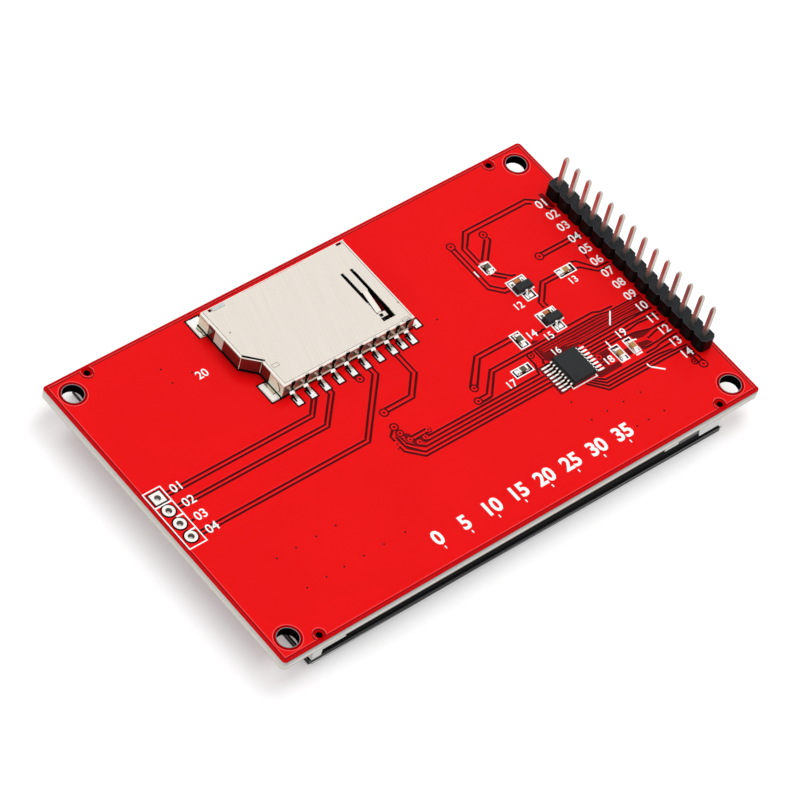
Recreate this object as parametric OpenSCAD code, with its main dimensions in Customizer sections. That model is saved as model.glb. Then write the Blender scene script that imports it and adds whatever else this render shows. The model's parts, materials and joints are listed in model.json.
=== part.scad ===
// Display module: a circuit board with a card socket, a touch controller and a pin header on one
// face, and a touch panel with its liquid crystal display taped to the other.
// Millimetres, +Z up. The module lies on its touch film, and its origin is the middle of the
// board's outline at that face. X runs along the board to the header, Y towards the card mouth.

/* [Circuit board] */
// Length of the board along X
board_l = 89.3; // [88:0.1:110]
// Width of the board along Y
board_w = 55.04; // [54:0.01:75]
// Thickness of the board
board_t = 1.6; // [0.8:0.1:2.4]
// Radius of the board's corners
board_corner_r = 0.6; // [0.2:0.1:2]
// Diameter of the four fixing holes
fixing_d = 3.2; // [2:0.1:4]
// Distance from each board edge to a fixing hole's centre
fixing_inset = 3.15; // [2.5:0.05:5]
// Diameter of the four locating holes beside the long edges
locating_d = 1.0; // [0.6:0.1:1.6]
// Distance from a long edge to a locating hole's centre
locating_inset = 1.2; // [1:0.05:2]
// Distance from a short edge to a locating hole's centre
locating_end = 7.05; // [6.5:0.05:9]

/* [Pin header] */
// Number of pins in the header
pin_count = 14; // [4:1:14]
// Distance between neighbouring pins
pin_pitch = 2.54; // [2.4:0.01:2.8]
// Side of a square pin
pin_w = 0.64; // [0.4:0.02:0.7]
// Length of a pin above the housing
pin_free_l = 6.1; // [3:0.1:12]
// Length of a pin below the board
pin_tail_l = 1.4; // [0.8:0.1:1.8]
// Length of the taper at each pin's ends
pin_taper_l = 0.5; // [0.3:0.1:1.2]
// Side of a pin's blunt tip
pin_tip_w = 0.36; // [0.1:0.05:0.38]
// Height of the header's housing
housing_h = 2.54; // [1.5:0.01:4]
// Width of the housing across the row
housing_w = 2.5; // [2:0.1:3.5]
// Chamfer between neighbouring blocks of the housing
housing_chamfer = 0.45; // [0.2:0.05:0.7]
// Side of the square recess round each pin in the housing's top
housing_recess_w = 1.04; // [0.7:0.02:1.2]
// Depth of that recess
housing_recess_d = 0.25; // [0.1:0.05:0.6]
// Distance from the board's edge to the row of pins
header_edge = 2.05; // [1.8:0.05:3]
// Diameter of the plated holes that the pins pass through
pin_hole_d = 1.02; // [1:0.01:1.2]
// Height of the solder cone round each pin
solder_h = 0.8; // [0.4:0.1:1]
// Radius of a solder cone on the board
solder_r = 0.85; // [0.7:0.05:1]

/* [Card header holes] */
// Number of holes in the card header
card_hole_count = 4; // [2:1:6]
// Bore of a plated hole
card_hole_d = 1.0; // [0.8:0.05:1.2]
// Diameter of a round pad, and side of the first one
card_pad_d = 1.9; // [1.5:0.05:2.2]
// Thickness of the plating
plating_t = 0.05; // [0.02:0.01:0.1]
// Distance from the board's edge to the row of holes
card_header_edge = 2.25; // [1.8:0.05:3]
// Shift of the row along Y from the board's middle
card_header_y = -0.15; // [-5:0.05:5]

/* [Card socket] */
// Depth of the socket from its rear wall to its mouth
socket_d = 16.7; // [16:0.1:19]
// Height of the shell above the board
socket_h = 2.8; // [2.6:0.05:3.4]
// Centre of the socket along X
socket_x = -5.7; // [-8:0.1:-4]
// Distance from the board's long edge to the socket's mouth
socket_edge = 2.62; // [1:0.01:4]
// Thickness of the folded steel sheet
sheet_t = 0.2; // [0.15:0.01:0.25]
// Outer radius of the shell's folds
fold_r = 0.45; // [0.3:0.05:0.6]
// How far the wall steps in beside the card's cut corner
jog_w = 2.15; // [1.5:0.05:2.4]
// Distance from the rear wall to the start of the step
jog_y = 5.1; // [4.5:0.1:6]
// Width of the socket beside the card, on each side
card_side = 1.225; // [1.1:0.005:1.5]
// Thickness of the plastic floor under the card
floor_t = 0.45; // [0.4:0.01:0.5]
// Depth of the plastic block that holds the contacts
block_d = 1.9; // [1.4:0.1:2.4]
// Clearance round the card, and between the base and its shell
socket_fit = 0.05; // [0.03:0.01:0.1]
// Distance between neighbouring contacts
contact_pitch = 2.5; // [2.2:0.05:2.8]
// Distance from the last full pitch to each of the two close contacts
contact_close = 1.85; // [1.8:0.05:2]
// Distance from the socket's left wall to the first contact
contact_start = 4.0; // [3.6:0.05:4.4]
// Distance from the last contact to the socket's right wall
contact_end = 1.25; // [1.2:0.05:1.6]
// Width of a contact
contact_w = 0.8; // [0.5:0.05:1]
// Thickness of a contact
contact_t = 0.15; // [0.1:0.01:0.2]
// Length of a contact's foot behind the rear wall
contact_foot = 1.9; // [1.2:0.1:2]
// Length of the spring part of a contact
contact_reach = 5.2; // [4:0.1:7]
// Free side room round a contact
contact_room = 0.1; // [0.05:0.01:0.15]
// Distance from the socket's right wall to the card spring's middle
spring_side = 3.4; // [3:0.1:4.5]
// Width of the card spring cut from the shell
spring_w = 1.2; // [1:0.05:1.5]
// Length of the card spring's window
spring_l = 10.1; // [9:0.1:11]
// Width of the slits beside the card spring
slit_w = 0.55; // [0.3:0.05:0.6]
// How far the card spring's bent part dips below the plate
spring_dip = 0.9; // [0.4:0.1:1]
// Length of a solder tab along the wall
tab_l = 2.0; // [1.4:0.1:2.2]
// Length of a solder tab's foot on the board
tab_foot = 1.1; // [0.8:0.1:1.3]

/* [Small parts] */
// Distance between neighbouring leads of the touch controller
controller_pitch = 0.65; // [0.6:0.01:0.7]
// Number of leads on each side of the touch controller
controller_leads = 8; // [4:1:8]
// Length of the touch controller's body past the middle of its last lead
controller_end = 0.4; // [0.2:0.005:0.6]
// Width of the touch controller's body
controller_w = 4.3; // [3.9:0.1:5]
// Height of the touch controller's body
controller_h = 1.05; // [0.7:0.05:1.4]
// Width of a touch controller lead
controller_lead_w = 0.26; // [0.2:0.01:0.35]
// Length of a small three-leaded body
sot_l = 2.9; // [2.7:0.05:3.1]
// Width of a small three-leaded body
sot_w = 1.35; // [1.2:0.05:1.6]
// Height of a small three-leaded body
sot_h = 0.95; // [0.7:0.05:1.2]
// Distance between the two leads on one side of a three-leaded body
sot_pitch = 1.9; // [1.7:0.05:2]
// Width of a lead of a three-leaded body
sot_lead_w = 0.42; // [0.3:0.02:0.5]
// Length of a chip resistor or capacitor
chip_l = 1.6; // [1.4:0.05:2]
// Width of a chip resistor or capacitor
chip_w = 0.8; // [0.6:0.05:1.2]
// Height of a chip capacitor
capacitor_h = 0.55; // [0.5:0.05:1]
// Height of a chip resistor
resistor_h = 0.5; // [0.3:0.05:0.7]
// Length of a chip's metal end cap
cap_l = 0.32; // [0.2:0.02:0.4]

/* [Display panel] */
// Distance from each short edge of the board to the touch panel
panel_end = 6.15; // [5.6:0.05:8]
// Distance from each long edge of the board to the touch panel
panel_side = 0.27; // [0:0.01:1]
// Shift of the panel along X from the board's middle
panel_x = -0.26; // [-2:0.02:2]
// Slight turn of the taped panel on the board, in degrees
panel_turn = -0.4; // [-0.5:0.05:0]
// Thickness of the touch film
film_t = 0.2; // [0.1:0.05:0.3]
// Thickness of the touch glass
touch_glass_t = 0.9; // [0.5:0.1:1.1]
// Thickness of the sticky gasket behind the touch glass
gasket_t = 0.3; // [0.25:0.05:0.5]
// Thickness of each of the two display glasses
lcd_glass_t = 0.5; // [0.3:0.05:0.7]
// Thickness of each polariser
polariser_t = 0.2; // [0.1:0.05:0.25]
// Thickness of the diffuser sheet
diffuser_t = 0.2; // [0.1:0.05:0.3]
// Thickness of the light guide
guide_t = 0.6; // [0.5:0.05:0.9]
// Thickness of the reflector sheet
reflector_t = 0.1; // [0.05:0.05:0.2]
// Thickness of the black light-shield tape
shield_t = 0.1; // [0.05:0.01:0.15]
// Thickness of the foam tape between the panel and the board
mount_tape_t = 0.3; // [0.2:0.05:0.5]
// Gap between the display glasses and the walls of the backlight frame
lcd_side = 0.2; // [0.1:0.05:0.3]
// Length of the bare ledge that carries the driver chip
ledge_l = 4.0; // [3.8:0.1:4.5]
// Length of the driver chip
driver_l = 19; // [14:0.5:22]
// Width of the driver chip
driver_w = 1.2; // [0.8:0.1:1.3]
// Height of the driver chip
driver_h = 0.3; // [0.2:0.05:0.4]
// Distance from the display flex to the driver chip
driver_gap = 0.6; // [0.4:0.05:0.8]
// Border of the picture area along the long edges of the display glass
picture_side = 1.45; // [1.2:0.05:2.5]
// Border of the picture area at the ends of the display glass
picture_end = 1.85; // [1.2:0.05:3]
// Wall of the backlight frame
frame_wall = 1.0; // [0.8:0.05:1.1]
// Step of the frame that the rear glass rests on
frame_step = 1.2; // [1:0.1:1.5]
// Room for the folded flex at the end of the panel
flex_room = 1.9; // [1.8:0.1:2.1]
// Width of the display flex
flex_w = 24; // [16:1:26]
// Thickness of the flexes
flex_t = 0.1; // [0.06:0.01:0.12]
// Length of a flex that is stuck to the glass it leaves
flex_grip = 1.4; // [1:0.1:1.6]
// Length of a flex that lies between the panel's back and the board
flex_tuck = 4.5; // [2:0.1:5]
// Width of the touch panel's tail
tail_w = 8; // [5:0.5:9]
// Gap between the display flex and the touch panel's tail
tail_gap = 2; // [0.5:0.1:3]

/* [Hidden] */
$fn = 48;
function two_digits(n) = n < 10 ? str("0", n) : str(n);

contact_total = 10;
contact_names = [for (i = [1:contact_total])
    i < contact_total ? str("card_contact_", two_digits(i)) : "card_detect_contact"];
pin_names = [for (i = [1:pin_count]) str("header_pin_", two_digits(i))];

cut = 1; // how far a cutting solid runs past the face it opens

// Sizes that follow from the contact row, the card and the board
socket_w = contact_start + 7 * contact_pitch + 2 * contact_close + contact_end;
card_w = socket_w - 2 * card_side;
socket_y = board_w / 2 - socket_edge - socket_d;
controller_l = (controller_leads - 1) * controller_pitch + 2 * controller_end;
panel_l = board_l - 2 * panel_end;
panel_w = board_w - 2 * panel_side;

// Heights of the panel's layers above the face it lies on
glass_z = film_t;
gasket_z = glass_z + touch_glass_t;
front_glass_z = gasket_z + gasket_t;
rear_glass_z = front_glass_z + lcd_glass_t;
light_z = rear_glass_z + lcd_glass_t;
backlight_t = polariser_t + diffuser_t + guide_t + reflector_t;
back_z = light_z + backlight_t;
board_z = back_z + shield_t + mount_tape_t;
top_z = board_z + board_t;

// ---- Shapes that several parts share ----

// Unit vector from one point to another
function heading(a, b) = (b - a) / norm(b - a);

// The vector turned a quarter turn to its left
function left_of(v) = [-v[1], v[0]];

// A counter-clockwise loop of points with side i moved inwards by gaps[i]
function inset(loop, gaps) = [for (i = [0:len(loop) - 1])
    let (n = len(loop), before = loop[(i + n - 1) % n], here = loop[i], after = loop[(i + 1) % n],
         a = left_of(heading(before, here)), b = left_of(heading(here, after)),
         p = a * here + gaps[(i + n - 1) % n], q = b * here + gaps[i],
         det = a[0] * b[1] - a[1] * b[0])
    [(p * b[1] - q * a[1]) / det, (a[0] * q - b[0] * p) / det]];

// A path with each inner corner replaced by an arc
function eased(path, r, steps = 4) = [for (i = [0:len(path) - 1])
    each (i == 0 || i == len(path) - 1) ? [path[i]] :
    let (a = heading(path[i - 1], path[i]), b = heading(path[i], path[i + 1]),
         turn = atan2(a[0] * b[1] - a[1] * b[0], a * b),
         start = path[i] - a * r * abs(tan(turn / 2)),
         centre = start + left_of(a) * r * sign(turn),
         from = atan2(start[1] - centre[1], start[0] - centre[0]))
    [for (k = [0:steps]) centre + r * [cos(from + turn * k / steps), sin(from + turn * k / steps)]]];

// Points beside a path, at a signed distance to its left
function beside(path, gap) = [for (i = [0:len(path) - 1])
    let (last = len(path) - 1,
         a = i == 0 ? heading(path[0], path[1]) : heading(path[i - 1], path[i]),
         b = i == last ? a : heading(path[i], path[i + 1]),
         m = left_of(a + b) / norm(a + b))
    path[i] + m * gap / (m * left_of(a))];

// Outline of a bent strip of sheet that follows a path
function strip(path, t) = concat(beside(path, t / 2),
    [for (p = [len(path) - 1:-1:0]) beside(path, -t / 2)[p]]);

// A strip profile in (Y, Z), as wide as asked along X
module strip_along_y(path, t, w)
    rotate([90, 0, 90]) linear_extrude(w, center = true) polygon(strip(path, t));

// A strip profile in (X, Z), as wide as asked along Y
module strip_along_x(path, t, w)
    rotate([90, 0, 0]) linear_extrude(w, center = true) polygon(strip(path, t));

// A flat sheet with round corners
module rounded_sheet(l, w, r) {
    square([l - 2 * r, w], center = true);
    square([l, w - 2 * r], center = true);
    for (x = [-1, 1], y = [-1, 1])
        translate([x * (l / 2 - r), y * (w / 2 - r)]) circle(r);
}

// A box given by its lower corner and its upper corner
module block(low, high) translate(low) cube(high - low);

// ---- Circuit board ----

header_x = board_l / 2 - header_edge;
function header_place(i) = [header_x, ((pin_count - 1) / 2 - i) * pin_pitch, board_z];
function card_hole_place(i) = [-board_l / 2 + card_header_edge,
    card_header_y + ((card_hole_count - 1) / 2 - i) * pin_pitch, board_z];

module drill(d) translate([0, 0, -cut]) cylinder(d = d, h = board_t + 2 * cut);

module at_corners(end, side)
    for (x = [-1, 1], y = [-1, 1])
        translate([x * (board_l / 2 - end), y * (board_w / 2 - side), board_z]) children();

module circuit_board() {
    color("#ec1618") difference() {
        translate([0, 0, board_z]) linear_extrude(board_t)
            rounded_sheet(board_l, board_w, board_corner_r);
        at_corners(fixing_inset, fixing_inset) drill(fixing_d);
        at_corners(locating_end, locating_inset) drill(locating_d);
        for (i = [0:pin_count - 1]) translate(header_place(i)) drill(pin_hole_d);
        for (i = [0:card_hole_count - 1])
            translate(card_hole_place(i)) drill(card_hole_d + 2 * plating_t);
    }
}

// A plated barrel with a pad on each face of the board; the first pad is square
module plated_hole(first) {
    difference() {
        union() {
            cylinder(d = card_hole_d + 2 * plating_t, h = board_t);
            for (z = [-plating_t, board_t]) translate([0, 0, z])
                if (first)
                    translate([0, 0, plating_t / 2])
                        cube([card_pad_d, card_pad_d, plating_t], center = true);
                else cylinder(d = card_pad_d, h = plating_t);
        }
        drill(card_hole_d);
    }
}

module card_header_pads() {
    color("#e8e4da") for (i = [0:card_hole_count - 1])
        translate(card_hole_place(i)) plated_hole(i == 0);
}

// ---- Pin header ----

// One side of the housing's outline: a chamfered block for each pin
function housing_side(side) = [for (i = [0:pin_count - 1])
    let (y = (i - (pin_count - 1) / 2) * pin_pitch, x = side * housing_w / 2,
         neck = side * (housing_w / 2 - housing_chamfer), half = pin_pitch / 2)
    each [[neck, y - half], [x, y - half + housing_chamfer], [x, y + half - housing_chamfer]]];

function housing_outline() =
    let (right = housing_side(1), left = housing_side(-1), neck = housing_w / 2 - housing_chamfer,
         end = pin_count * pin_pitch / 2)
    concat(right, [[neck, end], [-neck, end]], [for (i = [len(left) - 1:-1:0]) left[i]]);

module header_housing() {
    color("#2a2a2b") difference() {
        translate([header_x, 0, top_z]) linear_extrude(housing_h) polygon(housing_outline());
        for (i = [0:pin_count - 1])
            translate(header_place(i)) translate([-pin_w / 2, -pin_w / 2, 0])
                cube([pin_w, pin_w, board_t + housing_h + cut]);
        for (i = [0:pin_count - 1])
            translate(header_place(i))
                translate([-housing_recess_w / 2, -housing_recess_w / 2,
                           board_t + housing_h - housing_recess_d])
                    cube([housing_recess_w, housing_recess_w, housing_recess_d + cut]);
    }
}

// A square pin with a blunt tapered tip at both ends
module header_pin(i) {
    low = -pin_tail_l;
    high = board_t + housing_h + pin_free_l;
    side = [[pin_tip_w / 2, low], [pin_w / 2, low + pin_taper_l],
            [pin_w / 2, high - pin_taper_l], [pin_tip_w / 2, high]];
    outline = concat(side, [for (k = [3:-1:0]) [-side[k][0], side[k][1]]]);
    color("#d9d6d0") translate(header_place(i)) intersection() {
        rotate([90, 0, 0]) linear_extrude(pin_w, center = true) polygon(outline);
        rotate([90, 0, 90]) linear_extrude(pin_w, center = true) polygon(outline);
    }
}

module header_solder() {
    collar_r = pin_w * 0.75;
    color("#cfccc6") for (i = [0:pin_count - 1])
        translate(header_place(i)) translate([0, 0, -solder_h]) difference() {
            cylinder(r1 = collar_r, r2 = solder_r, h = solder_h);
            translate([-pin_w / 2, -pin_w / 2, -cut]) cube([pin_w, pin_w, solder_h + 2 * cut]);
        }
}

// ---- Card socket ----
// Its own frame has the rear wall's outer face at y = 0 and the board's face at z = 0.

module at_socket() translate([socket_x, socket_y, top_z]) children();

card_slot_z = socket_h - sheet_t;
spring_x = socket_w / 2 - spring_side;
spring_lap = 0.2; // the card spring's window reaches this far over the contact block
spring_y = block_d - spring_lap;
contact_x0 = -socket_w / 2 + contact_start;

// Contacts 1 to 8 stand at the full pitch, and the last two closer together
function contact_x(i) = contact_x0 + min(i, 7) * contact_pitch + max(i - 7, 0) * contact_close;

// Outline of the socket: rear, right, mouth, left, the step for the cut corner, and left again
socket_outline = [
    [-socket_w / 2 + jog_w, 0], [socket_w / 2, 0], [socket_w / 2, socket_d],
    [-socket_w / 2, socket_d], [-socket_w / 2, jog_y + jog_w], [-socket_w / 2 + jog_w, jog_y]];

// Rounds the fold between the top plate and the wall from a to b
module fold(a, b) {
    translate([a[0], a[1], socket_h - fold_r])
        rotate([0, 0, atan2(b[1] - a[1], b[0] - a[0])]) difference() {
            translate([0, -cut, 0]) cube([norm(b - a), fold_r + cut, fold_r + cut]);
            translate([0, fold_r, 0]) rotate([0, 90, 0]) cylinder(r = fold_r, h = norm(b - a));
        }
}

// The stepped wall is bent from its neighbours, so a slit parts it from the top plate
module jog_slit() {
    slit = inset(socket_outline, [for (p = socket_outline) sheet_t]);
    far = inset(socket_outline, [for (p = socket_outline) sheet_t + jog_gap]);
    translate([0, 0, card_slot_z - cut]) linear_extrude(sheet_t + 2 * cut)
        polygon([slit[4], slit[5], far[5], far[4]]);
}

// A foot that is folded outwards from a wall and lies on the board
module solder_tab() {
    path = eased([[0, 1.4], [0, sheet_t / 2], [-tab_foot, sheet_t / 2]], sheet_t);
    translate([sheet_t / 2, 0, 0]) strip_along_x(path, sheet_t, tab_l);
}

// The card spring: flat at its root, narrower where it dips, and rising to a pierced end
module card_spring() {
    mid = socket_h - sheet_t / 2;
    root_y = spring_y + spring_l;
    bend_y = root_y - spring_flat_l;
    end_y = spring_y + spring_end_gap;
    pad_y = end_y + spring_pad_l;
    bow_y = pad_y + spring_bow_l;
    low_z = mid - spring_dip;
    end_z = mid - spring_rise;
    translate([spring_x, 0, 0]) difference() {
        union() {
            strip_along_y([[root_y + sheet_t, mid], [bend_y, mid]], sheet_t, spring_w);
            strip_along_y([[bend_y + 2 * sheet_t, mid], [bend_y, mid], [bow_y + sheet_t, low_z],
                           [bow_y, low_z], [pad_y, end_z], [end_y, end_z]],
                          sheet_t, spring_neck_w);
            block([spring_pad_x - spring_pad_w / 2, end_y, end_z - sheet_t / 2],
                  [spring_pad_x + spring_pad_w / 2, pad_y, end_z + sheet_t / 2]);
        }
        block([-spring_w / 2, end_y + spring_pad_rim, 0], [0, pad_y - spring_pad_rim, socket_h]);
    }
}

spring_rise = 0.6; // depth of the card spring's free end below the plate
spring_neck_w = 0.9; // width of the card spring past its bend
spring_flat_l = 4.3; // length of the card spring that stays in the plate's plane
spring_bow_l = 0.35; // length of the rise from the card spring's lowest part to its pad
spring_pad_w = 1.6; // width of the pad at the card spring's free end
spring_pad_l = 0.85; // length of that pad
spring_pad_x = -0.175; // its middle, from the card spring's middle
spring_pad_rim = 0.15; // width of the pad's rim before and behind its hole
spring_end_gap = 1.0; // the card spring stops this far before the end of its window
wall_gap = 0.3; // the walls stop this far above the board, and the tabs reach it
jog_gap = 0.35; // between the stepped wall and the top plate
notch_top_w = 0.62; // width of the notches in the rear wall above the contacts
notch_low_h = 0.8; // below this height a notch is as wide as its contact's room
lip_d = 0.12; // how far the middle of the mouth's edge stands back

module card_socket_shell() {
    gaps = [sheet_t, sheet_t, -cut, sheet_t, sheet_t, sheet_t];
    notch_w = contact_w + 2 * contact_room;
    color("#e3ded2") at_socket() {
        difference() {
            translate([0, 0, wall_gap]) linear_extrude(socket_h - wall_gap)
                polygon(socket_outline);
            translate([0, 0, -cut]) linear_extrude(card_slot_z + cut)
                polygon(inset(socket_outline, gaps));
            for (i = [0, 1, 3, 5])
                fold(socket_outline[i], socket_outline[(i + 1) % 6]);
            jog_slit();
            for (i = [0:contact_total - 1])
                translate([contact_x(i), 0, 0]) {
                    block([-notch_w / 2, -cut, -cut], [notch_w / 2, sheet_t + cut, notch_low_h]);
                    block([-notch_top_w / 2, -cut, -cut],
                          [notch_top_w / 2, fold_r / 2, socket_h + cut]);
                }
            block([contact_x(contact_total - 1), -cut, socket_h - fold_r - 0.25],
                  [socket_w / 2 - fold_r, fold_r / 2, socket_h + cut]);
            block([spring_x - spring_w / 2 - slit_w, spring_y, card_slot_z - cut],
                  [spring_x + spring_w / 2 + slit_w, spring_y + spring_l, socket_h + cut]);
            block([-socket_w / 2 + 7.5, socket_d - lip_d, card_slot_z - cut],
                  [socket_w / 2 - 7.5, socket_d + cut, socket_h + cut]);
            block([-socket_w / 2 + 1.2, socket_d - 0.55, card_slot_z - cut],
                  [-socket_w / 2 + 1.8, socket_d + cut, socket_h + cut]);
            block([socket_w / 2 - 1.6, socket_d - 0.5, card_slot_z - cut],
                  [socket_w / 2 - 0.6, socket_d + cut, socket_h + cut]);
        }
        card_spring();
        translate([-socket_w / 2, socket_d - 1.2, 0]) solder_tab();
        translate([-socket_w / 2 + jog_w, jog_y - 2.9, 0]) solder_tab();
        mirror([1, 0, 0]) translate([-socket_w / 2, socket_d - 1.2, 0]) solder_tab();
        mirror([1, 0, 0]) translate([-socket_w / 2, tab_l / 2 + sheet_t, 0]) solder_tab();
    }
}

// The card's space above the floor, with one cut corner
module card_space() {
    half = card_w / 2 + 2 * socket_fit;
    corner = jog_w + 0.6;
    translate([0, 0, floor_t]) linear_extrude(socket_h)
        polygon([[-half + corner, block_d], [half, block_d], [half, socket_d + cut],
                 [-half, socket_d + cut], [-half, block_d + corner]]);
}

module card_socket_base() {
    wall = sheet_t + socket_fit;
    gaps = [wall, wall, 0.6, wall, wall, wall];
    room = contact_w / 2 + contact_room;
    color("#26262a") at_socket() difference() {
        linear_extrude(card_slot_z - socket_fit) polygon(inset(socket_outline, gaps));
        card_space();
        for (i = [0:contact_total - 1]) {
            block([contact_x(i) - room, block_d, -cut],
                  [contact_x(i) + room, block_d + contact_reach + 0.5, floor_t + cut]);
            block([contact_x(i) - contact_w / 2, -cut, floor_t - contact_t],
                  [contact_x(i) + contact_w / 2, block_d + cut, floor_t]);
        }
        block([-socket_w / 4, socket_d - 5, -cut], [socket_w / 4, socket_d - 2.2, floor_t + cut]);
    }
}

// A contact: its foot on the board, its shank through the block, and its spring under the card
module card_contact(i) {
    shank = floor_t - contact_t / 2;
    tip = block_d + contact_reach;
    path = concat(
        eased([[-contact_foot, contact_t / 2], [-0.25, contact_t / 2], [0.1, shank],
               [block_d, shank]], contact_t),
        eased([[block_d + 0.3, shank], [tip - 1.1, shank + 0.65], [tip - 0.5, shank + 0.65],
               [tip, shank + 0.2]], 0.2));
    color("#dcd8cf") at_socket() translate([contact_x(i), 0, 0])
        strip_along_y(path, contact_t, contact_w);
}

// ---- Touch controller, regulator and transistor ----

// Outline of a moulded body seen along one axis: sloped above and below its parting band
module body_outline(w, h, slope, band) {
    half = [[w / 2 - slope, 0], [w / 2, (h - band) / 2], [w / 2, (h + band) / 2],
            [w / 2 - slope, h]];
    polygon(concat(half, [for (k = [3:-1:0]) [-half[k][0], half[k][1]]]));
}

module moulded_body(l, w, h, slope, band) intersection() {
    rotate([90, 0, 90]) linear_extrude(l, center = true) body_outline(w, h, slope, band);
    rotate([90, 0, 0]) linear_extrude(w, center = true) body_outline(l, h, slope, band);
}

lead_t = 0.14;
lead_foot = 0.5;
lead_run = 1.0; // from the controller's side to the tips of its leads
sot_lead_run = 0.75; // the same on a three-leaded body
standoff = 0.08;

// A gull-wing lead that leaves a body at y = 0 and runs towards +Y down to the board
module gull_lead(w, body_h, run) {
    root = standoff + body_h / 2;
    path = eased([[0, root], [run - lead_foot - 0.1, root], [run - lead_foot, lead_t / 2],
                  [run, lead_t / 2]], lead_t);
    strip_along_y(path, lead_t, w);
}

// Places of the parts on the board: distance back from the row of header pins, and Y
controller_place = [19.4, -9.9];
regulator_place = [16.1, 5.4];
transistor_place = [16.1, -1.35];

module at_place(p) translate([header_x - p[0], p[1], top_z]) children();

module touch_controller_body() {
    color("#2b2c2e") at_place(controller_place) translate([0, 0, standoff]) difference() {
        moulded_body(controller_w, controller_l, controller_h, 0.12, lead_t);
        translate([-controller_w / 2 + 0.7, -controller_l / 2 + 0.7, controller_h - 0.06])
            cylinder(d = 0.6, h = cut);
    }
}

module touch_controller_leads() {
    color("#d4d1ca") at_place(controller_place)
        for (side = [-90, 90], i = [0:controller_leads - 1])
            rotate([0, 0, side])
                translate([(i - (controller_leads - 1) / 2) * controller_pitch, controller_w / 2, 0])
                    gull_lead(controller_lead_w, controller_h, lead_run);
}

module sot_body()
    color("#2b2c2e") translate([0, 0, standoff]) moulded_body(sot_l, sot_w, sot_h, 0.1, lead_t);

// A three-leaded body has one lead on its -Y side and two on its +Y side
module sot_leads() {
    color("#d4d1ca") {
        for (x = [-sot_pitch / 2, sot_pitch / 2])
            translate([x, sot_w / 2, 0]) gull_lead(sot_lead_w, sot_h, sot_lead_run);
        rotate([0, 0, 180]) translate([0, sot_w / 2, 0])
            gull_lead(sot_lead_w, sot_h, sot_lead_run);
    }
}

module regulator_body() at_place(regulator_place) sot_body();
module regulator_leads() at_place(regulator_place) sot_leads();
module transistor_body() at_place(transistor_place) sot_body();
module transistor_leads() at_place(transistor_place) sot_leads();

// ---- Chip capacitors and resistors: place and turn of each ----

capacitor_places = [[8.4, 4.7, 0], [11.65, -11.5, 90], [9.1, -11.45, 90]];
resistor_places = [[18.15, 11.15, 90], [22.8, -1.75, 90], [26.1, -6.2, 0]];

module at_chips(places) for (p = places) at_place(p) rotate([0, 0, p[2]]) children();

module chip_body(h)
    translate([0, 0, h / 2]) cube([chip_l - 2 * cap_l, chip_w - 0.04, h - 0.04], center = true);

module chip_caps(h)
    for (side = [-1, 1]) translate([side * (chip_l - cap_l) / 2, 0, h / 2])
        cube([cap_l, chip_w, h], center = true);

module capacitor_bodies() {
    color("#b98a5a") at_chips(capacitor_places) chip_body(capacitor_h);
}

module resistor_bodies() {
    color("#3a3a38") at_chips(resistor_places) chip_body(resistor_h);
}

module chip_end_caps() {
    color("#d8d5ce") {
        at_chips(capacitor_places) chip_caps(capacitor_h);
        at_chips(resistor_places) chip_caps(resistor_h);
    }
}

// ---- Display panel ----
// Its own frame has the touch panel's middle at x = 0, y = 0 and the touch film's face at z = 0.

module at_panel() translate([panel_x, 0, 0]) rotate([0, 0, panel_turn]) children();

edge_step = 0.2; // the display stands this far inside the touch glass
film_inset = 0.3;
gasket_inset = 0.5;
panel_fit = 0.1;
tail_y = flex_w / 2 + tail_gap + tail_w / 2;
tail_grip = 2.6; // length of the tail that is stuck to the touch glass
frame_w = panel_w - 2 * (edge_step + shield_t);
frame_x0 = -panel_l / 2 + flex_room;
frame_x1 = panel_l / 2 - edge_step;
lcd_w = frame_w - 2 * (frame_wall + lcd_side);
lcd_x1 = frame_x1 - frame_wall - panel_fit;
rear_glass_x0 = frame_x0 + frame_wall + 3 * panel_fit;
front_glass_x0 = rear_glass_x0 + ledge_l;
picture_x = (front_glass_x0 + lcd_x1) / 2;
picture_l = lcd_x1 - front_glass_x0 - 2 * picture_end;
picture_w = lcd_w - 2 * picture_side;
well_x0 = rear_glass_x0 + frame_step;
well_x1 = lcd_x1 - frame_step;
well_w = lcd_w - 2 * frame_step;
led_d = 1.4;

// A flat layer between two X places, with its width and its lower and upper height
module layer(x0, x1, w, z0, z1) block([x0, -w / 2, z0], [x1, w / 2, z1]);

module touch_film() {
    color("#16171a") at_panel()
        layer(-panel_l / 2 + film_inset, panel_l / 2 - film_inset, panel_w - 2 * film_inset,
              0, glass_z);
}

module touch_glass() {
    color("#1d1f22") at_panel() layer(-panel_l / 2, panel_l / 2, panel_w, glass_z, gasket_z);
}

module panel_gasket() {
    inset_x = panel_l / 2 - gasket_inset;
    window = 0.8; // the gasket's opening is this much wider than the picture on each side
    tail_room = 0.5; // between the gasket and the sides of the tail
    color("#101012") at_panel() difference() {
        layer(-inset_x, inset_x, panel_w - 2 * gasket_inset, gasket_z, front_glass_z);
        layer(picture_x - picture_l / 2 - window, picture_x + picture_l / 2 + window,
              picture_w + 2 * window, gasket_z - cut, front_glass_z + cut);
        block([-inset_x - cut, tail_y - tail_w / 2 - tail_room, gasket_z - cut],
              [-panel_l / 2 + tail_grip + 0.4, tail_y + tail_w / 2 + tail_room,
               front_glass_z + cut]);
    }
}

module front_polariser() {
    border = 0.5; // the polariser reaches this far past the picture on each side
    color("#24262c") at_panel()
        layer(picture_x - picture_l / 2 - border, picture_x + picture_l / 2 + border,
              picture_w + 2 * border, front_glass_z - polariser_t, front_glass_z);
}

module colour_filter_glass() {
    color("#8fa3a0") at_panel()
        layer(front_glass_x0, lcd_x1, lcd_w, front_glass_z, rear_glass_z);
}

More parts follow.
